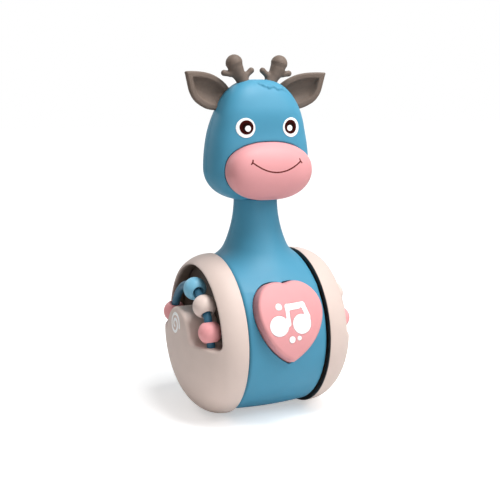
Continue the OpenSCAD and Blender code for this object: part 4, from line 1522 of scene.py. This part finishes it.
@dataclass
class Ears:
    """The two soft ears: a leaf with a rolled rim and a dished pocket."""

    palette: Palette
    head: Egg
    root: Point = (13.8, 2.5, 129.0)
    rise: float = 36.7
    toe: float = 14.0
    length: float = 23.2
    width: float = 14.5
    # Shares of the length, with shares of the width above and below the middle line
    stations: tuple = ((0.0, 0.47, -0.14), (0.12, 0.54, -0.27), (0.26, 0.56, -0.39),
                       (0.42, 0.53, -0.45), (0.57, 0.46, -0.45), (0.72, 0.34, -0.36),
                       (0.86, 0.19, -0.19), (0.95, 0.08, -0.07))
    rim: float = 2.3
    front_y: float = -1.4
    thick: float = 2.0
    pocket: float = 0.7
    pocket_start: float = 0.4
    pocket_ramp: float = 1.7
    dish: float = 2.2
    dish_ramp: float = 4.2
    back: float = 3.0
    back_ramp: float = 6.5
    edge: float = 0.9
    sink: float = 0.3
    outline_steps: int = 5
    search: Search = ((-1.5, -3, -9), (25, 6, 10), 0.4, 14000)

    @cached_property
    def matrix(self) -> Matrix:
        """The right ear's own frame in the toy's.

        Returns:
            The turn and the shift.
        """
        toe, rise = math.radians(-self.toe), math.radians(-self.rise)
        turn = Matrix.Rotation(toe, 4, "Z") @ Matrix.Rotation(rise, 4, "Y")
        return Matrix.Translation(self.root) @ turn

    @cached_property
    def outline(self) -> Array:
        """The leaf's outline in its own plane.

        Returns:
            Its points, in order.
        """
        upper = [(s * self.length, u * self.width) for s, u, _ in self.stations]
        lower = [(s * self.length, d * self.width) for s, _, d in reversed(self.stations)]
        return smooth_loop([*upper, (self.length, 0.0), *lower], self.outline_steps)

    def leaf(self, at: Spots) -> Array:
        """Distance to the ear in its own frame.

        Args:
            at: Places.

        Returns:
            Distance, negative inside.
        """
        edge = outline_distance(at.x, at.z, self.outline)
        deep = -edge
        inner = np.clip((deep - self.rim + self.pocket_start) / self.pocket_ramp, 0, 1)
        middle = np.clip((deep - self.rim) / self.dish_ramp, 0, 1)
        full = np.clip(deep / self.back_ramp, 0, 1)
        front = (self.front_y + self.pocket * inner ** 2 * (3 - 2 * inner)
                 + self.dish * middle * (2 - middle))
        rear = self.front_y + self.thick + self.back * full * (2 - full)
        form = round_meet(edge, front - at.y, self.edge)
        return round_meet(form, at.y - rear, self.edge)

    def rooted(self, at: Spots) -> Array:
        """Distance to the ear outside the head.

        Args:
            at: Places in the ear's own frame.

        Returns:
            Distance, negative inside.
        """
        place = np.stack([at.x, at.y, at.z], axis=-1) @ np.array(self.matrix.to_3x3()).T
        place = Spots(*np.moveaxis(place + np.array(self.root), -1, 0))
        return np.maximum(self.leaf(at), -self.head(place) - self.sink)

    def build(self) -> None:
        """Makes both ears, rooted on the head."""
        skin = Skin.of_field(self.rooted, *self.search).moved(self.matrix)
        for side in Side:
            put(skin.on(side), f"{side.word}_ear_leaf", "body", self.palette.brown,
                "brown_rubber", [f"{side.word}_ear"])


@dataclass
class Antlers:
    """The two soft antlers: a bent stalk with a knob and two prongs."""

    palette: Palette
    plane_y: float = -1.4
    # Start, end, radii and fillet of each stretch of the stalk
    stalk: tuple = (((3.7, 135.2), (8.4, 142.4), (2.65, 2.45), 1.0),
                    ((8.4, 142.4), (9.7, 145.0), (2.45, 2.55), 1.0),
                    ((9.7, 145.0), (10.2, 146.45), (2.9, 3.5), 1.5))
    prongs: tuple = (((8.8, 142.3), (12.0, 142.1), (14.7, 142.5)),
                     ((6.6, 140.2), (4.4, 142.0), (2.6, 143.6)))
    prong_radii: Point = (1.3, 1.1, 1.25)
    prong_bend: float = 0.5
    prong_blend: float = 1.2
    search: Search = ((-1, -6.5, 131), (18, 3.5, 151), 0.35, 12000)

    def shape(self, at: Spots) -> Array:
        """Distance to the right antler.

        Args:
            at: Places.

        Returns:
            Distance, negative inside.
        """

        def rod(start: Place, end: Place, radii: Place) -> Array:
            """Distance to one stretch."""
            return stroke(at, (start[0], self.plane_y, start[1]),
                          (end[0], self.plane_y, end[1]), radii)

        form = rod(*self.stalk[0][:3])
        for *stretch, blend in self.stalk[1:]:
            form = soft_join(form, rod(*stretch), blend)
        for root, bend, tip in self.prongs:
            arm = soft_join(rod(root, bend, self.prong_radii[:2]),
                            rod(bend, tip, self.prong_radii[1:]), self.prong_bend)
            form = soft_join(form, arm, self.prong_blend)
        return form

    def build(self) -> None:
        """Makes both antlers."""
        skin = Skin.of_field(self.shape, *self.search)
        for side in Side:
            put(skin.on(side), f"{side.word}_antler_branch", "body", self.palette.brown,
                "brown_rubber", [f"{side.word}_antler"])


@dataclass
class BeadWheel:
    """A domed wheel with a half-round window, a rod in it and four beads on the rod."""

    palette: Palette
    side: Side
    radius: float = 34.0
    bulge: float = 18.5
    power: float = 2.4
    rim_edge: float = 0.5
    wall: float = 2.0
    boss_r: float = 12.8
    sill: float = 0.5
    corner: float = 2.5
    pocket_wall: float = 1.8
    plate_x: float = 21.65
    plate_lap: float = 1.0
    edge: float = 1.3
    screw_turns: tuple = (205.0, 270.0, 335.0)
    screw_r: float = 24.0
    screw_boss_r: float = 3.0
    ring_r: float = 21.5
    bead_x: float = 29.5
    bead_r: float = 4.8
    bore_r: float = 2.2
    # Steps out from the bore and down from the top of the rounded lip of a bead
    bead_lip: tuple = ((0.0, 0.55), (0.05, 0.25), (0.2, 0.05))
    bead_lip_w: float = 0.35
    bead_steps: int = 36
    bead_sides: int = 56
    bore_steps: int = 5
    # Each bead's name and its turn from the front, in degrees
    beads: tuple = (("front_pink", 17), ("beige", 47), ("blue", 78), ("rear_pink", 164))
    rod_r: float = 1.7
    rod_tail: float = 4.0
    rod_steps: int = 73
    rod_sides: int = 28
    spiral_place: Place = (-0.8, 5.6)
    spiral_radii: Place = (4.9, 0.6)
    spiral_turns: float = 1.85
    spiral_start: float = -0.25
    spiral_ease: float = 1.15
    spiral_line: float = 0.62
    spiral_t: float = 0.08
    spiral_steps: int = 90
    search: Search = ((17, -35.2, -1.2), (38, 35.2, 69.2), 0.5, 46000)

    def dome(self, at: Spots, inset: float) -> Array:
        """Distance to the dome, or to its hollow.

        Args:
            at: Places.
            inset: Thickness of the wall outside the hollow.

        Returns:
            Distance, negative inside.
        """
        radius, bulge = self.radius - inset, self.bulge - inset
        out = np.maximum(at.x - WHEEL_RIM_X, 0) / bulge
        share = at.off / radius
        value = share ** self.power + out ** self.power - 1
        slope = self.power * np.hypot(share ** (self.power - 1) / radius,
                                      out ** (self.power - 1) / bulge)
        return value / (slope + LEAST_SLOPE)

    def cover(self, at: Spots) -> Array:
        """Distance to the right wheel's cover.

        Args:
            at: Places.

        Returns:
            Distance, negative inside.
        """
        form = round_meet(self.dome(at, 0), WHEEL_RIM_X - at.x, self.rim_edge)
        recess = np.maximum(at.off - self.radius + self.wall, at.x - self.plate_x)
        floor = self.plate_x - self.plate_lap - at.x
        pocket = join(at.off - self.boss_r + self.pocket_wall,
                      at.up - self.sill + self.pocket_wall)
        inner = meet(self.dome(at, self.wall), floor, pocket)
        for turn in np.radians(self.screw_turns):
            ahead, up = self.screw_r * math.cos(turn), self.screw_r * math.sin(turn)
            inner = np.maximum(inner, self.screw_boss_r - np.hypot(at.y - ahead, at.up - up))
        form = meet(form, -recess, -inner)
        window = np.maximum(at.off - WINDOW_R, self.boss_r - at.off)
        window = round_meet(window, self.sill - at.up, self.corner)
        return soft_cut(form, np.maximum(window, floor), self.edge)

    def _on_dome(self, rows: Array) -> Array:
        """A base for prints on the right dome.

        Args:
            rows: Rows of the way forward, the way up and a height above the dome.

        Returns:
            The points.
        """
        ahead, up, height = rows.T
        share = np.hypot(ahead, up) / self.radius
        x = WHEEL_RIM_X + self.bulge * (1 - share ** self.power) ** (1 / self.power)
        return np.column_stack([x + height, -ahead, AXLE_Z + up])

    def _spiral(self) -> Skin:
        """The white spiral on the boss of the right wheel.

        Returns:
            The printed line.
        """
        turns = np.linspace(0, 2 * np.pi * self.spiral_turns, self.spiral_steps)
        outer, inner = self.spiral_radii
        radius = outer - (outer - inner) * (turns / turns[-1]) ** self.spiral_ease
        angle = self.spiral_start + turns
        path = np.column_stack([radius * np.cos(angle), radius * np.sin(angle)])
        return print_line(path + self.spiral_place, self.spiral_line, self.spiral_t, self._on_dome)

    def _rod(self) -> Skin:
        """The bent rod of the right wheel.

        Returns:
            The rod, with a straight tail at each end.
        """
        turns = np.linspace(0, np.pi, self.rod_steps)
        arc = np.column_stack([np.full(len(turns), self.bead_x), -self.ring_r * np.cos(turns),
                               AXLE_Z + self.ring_r * np.sin(turns)])
        front, rear = ([self.bead_x, end * self.ring_r, AXLE_Z - self.rod_tail] for end in (-1, 1))
        return tube(np.vstack([[front], arc, [rear]]), self.rod_r, self.rod_sides, (1, 0, 0))

    def _bead(self, turn: float) -> Skin:
        """A bead of the right wheel.

        Args:
            turn: Its turn from the front, in degrees.

        Returns:
            The bead, with its bore along the rod.
        """
        rim = math.asin((self.bore_r + self.bead_lip_w) / self.bead_r)
        arc = np.linspace(rim, np.pi - rim, self.bead_steps)
        ball = np.column_stack([self.bead_r * np.sin(arc), self.bead_r * np.cos(arc)])
        top = ball[0, 1]
        lip = np.array([[self.bore_r + out, top - down] for out, down in self.bead_lip])
        heights = np.linspace(-lip[0, 1], lip[0, 1], self.bore_steps)[1:-1]
        bore = np.array([[self.bore_r, height] for height in heights])
        profile = np.concatenate([lip, ball, lip[::-1] * [1, -1], bore])
        place = (Matrix.Translation((0, 0, AXLE_Z)) @ Matrix.Rotation(math.radians(-turn), 4, "X")
                 @ Matrix.Translation((self.bead_x, -self.ring_r, 0)))
        return lathe(profile[::-1], self.bead_sides).moved(place)

    def build(self) -> None:
        """Makes the wheel with its rod and beads."""
        look, word = self.palette, self.side.word
        pieces = [
            (Skin.of_field(self.cover, *self.search), "wheel_dome", "wheel",
             look.wheel, "beige_shell", ["wheel_cover"]),
            (self._spiral(), "wheel_spiral", "wheel", look.white, "white_print", []),
            (self._rod(), "rod_bow", "wheel", look.rod, "rod_plastic", ["bead_rod"])]
        finishes = {"pink": (look.pink_bead, "pink_bead"), "blue": (look.blue_bead, "blue_bead"),
                    "beige": (look.beige_bead, "beige_bead")}
        for bead, turn in self.beads:
            colour = bead.split("_")[-1]
            pieces.append((self._bead(turn), f"ball_{bead}", bead, *finishes[colour],
                           [f"bead_{bead}"]))
        for skin, name, body, finish, slot, nodes in pieces:
            put(skin.on(self.side), f"{word}_{name}", f"{word}_{body}", finish, slot,
                [f"{word}_{node}" for node in nodes])


@dataclass
class Screws:
    """The cross-headed screws that show at the back, at the door and in the wells."""

    palette: Palette
    thread_r: float = 1.1
    thread_depth: float = 0.12
    pitch: float = 0.8
    head_r: float = 2.1
    head_t: float = 1.5
    head_edge: float = 0.25
    dome_drop: float = 1.6
    slot_half: float = 0.28
    slot_reach: float = 1.25
    slot_depth: float = 0.8
    root: float = 0.1
    lengths: Point = (11, 10, 6)
    door_seat: float = 31.6
    reach: float = 2.6
    top: float = 2.1
    below: float = 0.5
    step: float = 0.16
    wanted: int = 5000

    def screw(self, length: float) -> Skin:
        """A screw that points along -Z, with its seat at zero.

        Args:
            length: Length under the head.

        Returns:
            The screw.
        """

        def shape(at: Spots) -> Array:
            """Distance to the screw.

            Args:
                at: Places.

            Returns:
                Distance, negative inside.
            """
            dome = np.sqrt(at.x ** 2 + at.y ** 2 + (at.z + self.dome_drop) ** 2)
            head = round_meet(at.stem - self.head_r, dome - self.head_t - self.dome_drop,
                              self.head_edge)
            groove = np.cos(2 * np.pi * at.z / self.pitch - np.arctan2(at.y, at.x))
            shank = at.stem - self.thread_r + self.thread_depth - self.thread_depth * groove
            cross = np.minimum(np.abs(at.x), np.abs(at.y)) - self.slot_half
            cross = meet(cross, at.stem - self.slot_reach, self.head_t - self.slot_depth - at.z)
            return np.maximum(join(np.maximum(head, -at.z),
                                   meet(shank, at.z - self.root, -at.z - length)), -cross)

        low = (-self.reach, -self.reach, -length - self.below)
        high = (self.reach, self.reach, self.top)
        return Skin.of_field(shape, low, high, self.step, self.wanted)

    def build(self) -> None:
        """Makes the screws of the drum, the head and the door."""
        rear = Matrix.Rotation(math.radians(-90), 4, "X")
        out = (Matrix.Translation((0, 0, AXLE_Z))
               @ Matrix.Rotation(math.radians(-DOOR_TURN), 4, "X")
               @ Matrix.Rotation(math.radians(90), 4, "X"))
        back = [[Matrix.Translation((x, SCREW_SEAT_Y, z)) @ rear for x, z in places]
                for places in (DRUM_SCREWS, HEAD_SCREWS)]
        door = [out @ Matrix.Translation((side.value * DOOR_SCREW_X, 0, self.door_seat))
                for side in Side]
        for name, node, places, length in zip(
                ("cross_body_screws", "cross_head_screws", "cross_door_screws"),
                ("body_screws", "head_screws", "battery_door_screws"),
                (*back, door), self.lengths):
            screw = self.screw(length)
            put(Skin.joined([screw.moved(place) for place in places]), name, "body",
                self.palette.steel, "steel", [node])


@dataclass
class Inside:
    """What stays as the part's source makes it, with a finish of its own."""

    palette: Palette

    def build(self) -> None:
        """Dresses the nodes that are still shown."""
        look = self.palette
        steel = ["axle", "axle_washers", "axle_end_screws", "muzzle_screws"]
        for finish, nodes in (
                (look.steel, [*steel, *(f"{side.word}_wheel_screws" for side in Side)]),
                (look.plate, [f"{side.word}_wheel_plate" for side in Side]),
                (look.weight, ["counterweight"]), (look.board, ["circuit_board"]),
                (look.black, ["sound_chip", "switch_body", "switch_plunger"]),
                (look.lamp, ["lamp"]), (look.speaker, ["speaker"]),
                (look.wire, ["speaker_wire", "battery_wire"]),
                (look.cell, ["button_cells"]), (look.brass, ["battery_contacts"])):
            for node in nodes:
                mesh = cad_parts[node].data
                mesh.materials.clear()
                mesh.materials.append(finish)
                LOG.info("%s: dressed", node)


@dataclass
class Studio:
    """The camera, the soft lamps and the white floor."""

    azimuth: float = -24.768
    elevation: float = 10.008
    distance: float = 381.76
    target: Point = (-2.45, 0.0, 68.47)
    lens: float = 64.397
    sensor: float = 36.0
    clip_m: Place = (0.01, 20.0)
    ambient: float = 0.2
    # Name, place, width and power of each lamp
    lamps: tuple = (("key_lamp", (270, -380, 430), 320, 1.3),
                    ("top_lamp", (90, -170, 560), 260, 2.75),
                    ("front_lamp", (-120, -560, 220), 380, 0.45),
                    ("back_lamp", (-260, 420, 420), 300, 0.5))
    lamp_target: Point = (0, 0, 75)
    floor_near: float = 160.0
    floor_far: float = 330.0
    floor_reach: float = 3000.0
    floor_grain_mm: float = 30.0
    floor_tones: tuple = ((0.9, 0.9, 0.9), (0.92, 0.92, 0.92))
    # Light that the near floor adds for the camera, and that the far floor gives all and adds
    near_glow: float = 0.45
    far_glow: Place = (0.4, 0.7)

    def build(self) -> None:
        """Sets up the studio."""
        self._camera()
        for name, place, size, power in self.lamps:
            lamp = bpy.data.lights.new(name, "AREA")
            lamp.shape, lamp.size, lamp.energy = "DISK", size * MM, power
            self._aim(lamp, Vector(place), Vector(self.lamp_target) - Vector(place))
        self._sky()
        self._floor()
        bpy.context.scene.view_settings.view_transform = "Standard"

    @staticmethod
    def _aim(data: bpy.types.ID, place: Vector, way: Vector) -> bpy.types.Object:
        """Puts a lamp or a camera in the scene.

        Args:
            data: The lamp or camera.
            place: Its place.
            way: The way that it looks.

        Returns:
            The object that holds it.
        """
        holder = bpy.data.objects.new(data.name, data)
        holder.location = place * MM
        holder.rotation_euler = way.to_track_quat("-Z", "Y").to_euler()
        bpy.context.scene.collection.objects.link(holder)
        return holder

    def _camera(self) -> None:
        """Places the camera where the photograph was taken from."""
        turn, lift = math.radians(self.azimuth), math.radians(self.elevation)
        back = Vector((math.sin(turn) * math.cos(lift), -math.cos(turn) * math.cos(lift),
                       math.sin(lift)))
        camera = bpy.data.cameras.new("camera")
        camera.lens, camera.sensor_width = self.lens, self.sensor
        camera.clip_start, camera.clip_end = self.clip_m
        place = Vector(self.target) + self.distance * back
        bpy.context.scene.camera = self._aim(camera, place, -back)

    def _sky(self) -> None:
        """Makes an even light that looks white."""
        world = bpy.data.worlds.new("white_studio")
        graph = Graph(world)
        path = graph.add("LightPath", output="Is Camera Ray")
        seen = path + path.beside("Is Glossy Ray") + path.beside("Is Transmission Ray")
        level = graph.add("MapRange", None, {"Value": seen, "To Min": self.ambient})
        sky = graph.add("Background", None, {"Color": (1, 1, 1, 1), "Strength": level})
        graph.add("OutputWorld", None, {0: sky})
        bpy.context.scene.world = world

    def _floor(self) -> None:
        """Lays a white floor that keeps the toy's shadow."""
        graph = Graph(bpy.data.materials.new("white_floor"))
        white = (1, 1, 1, 1)
        pale = graph.tint(graph.noise(self.floor_grain_mm), *self.floor_tones)
        paint = graph.add("BsdfDiffuse", None, {"Color": pale})
        seen = graph.add("LightPath", output="Is Camera Ray")
        glow = graph.add("Emission", None, {"Color": white, "Strength": self.near_glow * seen})
        near = graph.add("AddShader", None, {0: paint, 1: glow})
        level, more = self.far_glow
        far = graph.add("Emission", None, {"Color": white, "Strength": level + more * seen})
        x, y, _ = graph.place()
        away = ((x ** 2 + y ** 2) ** 0.5).fade(self.floor_near, self.floor_far)
        blend = graph.add("MixShader", None, {0: away, 1: near, 2: far})
        graph.add("OutputMaterial", None, {"Surface": blend})
        corners = [[-1, -1, 0], [1, -1, 0], [1, 1, 0], [-1, 1, 0]]
        floor = Skin(self.floor_reach * np.array(corners), [[0, 1, 2, 3]]).to_object("floor")
        floor.data.materials.append(graph.owner)
        floor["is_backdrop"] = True


def main() -> None:
    """Builds the toy and its studio, and works out the sizes."""
    logging.basicConfig(level=logging.INFO, format="%(message)s")
    palette = Palette()
    heart, head = HeartButton(palette), Head(palette)
    wheels = [BeadWheel(palette, side) for side in Side]
    for part in (Studio(), DrumAndNeck(palette, heart), heart, head, Ears(palette, head.form),
                 Antlers(palette), *wheels, Screws(palette), Inside(palette)):
        part.build()
    boxes = {"cad": CAD_BOX, "visual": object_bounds()}
    {name: [list(corner) for corner in box] for name, box in boxes.items()}


if __name__ == "__main__":
    main()
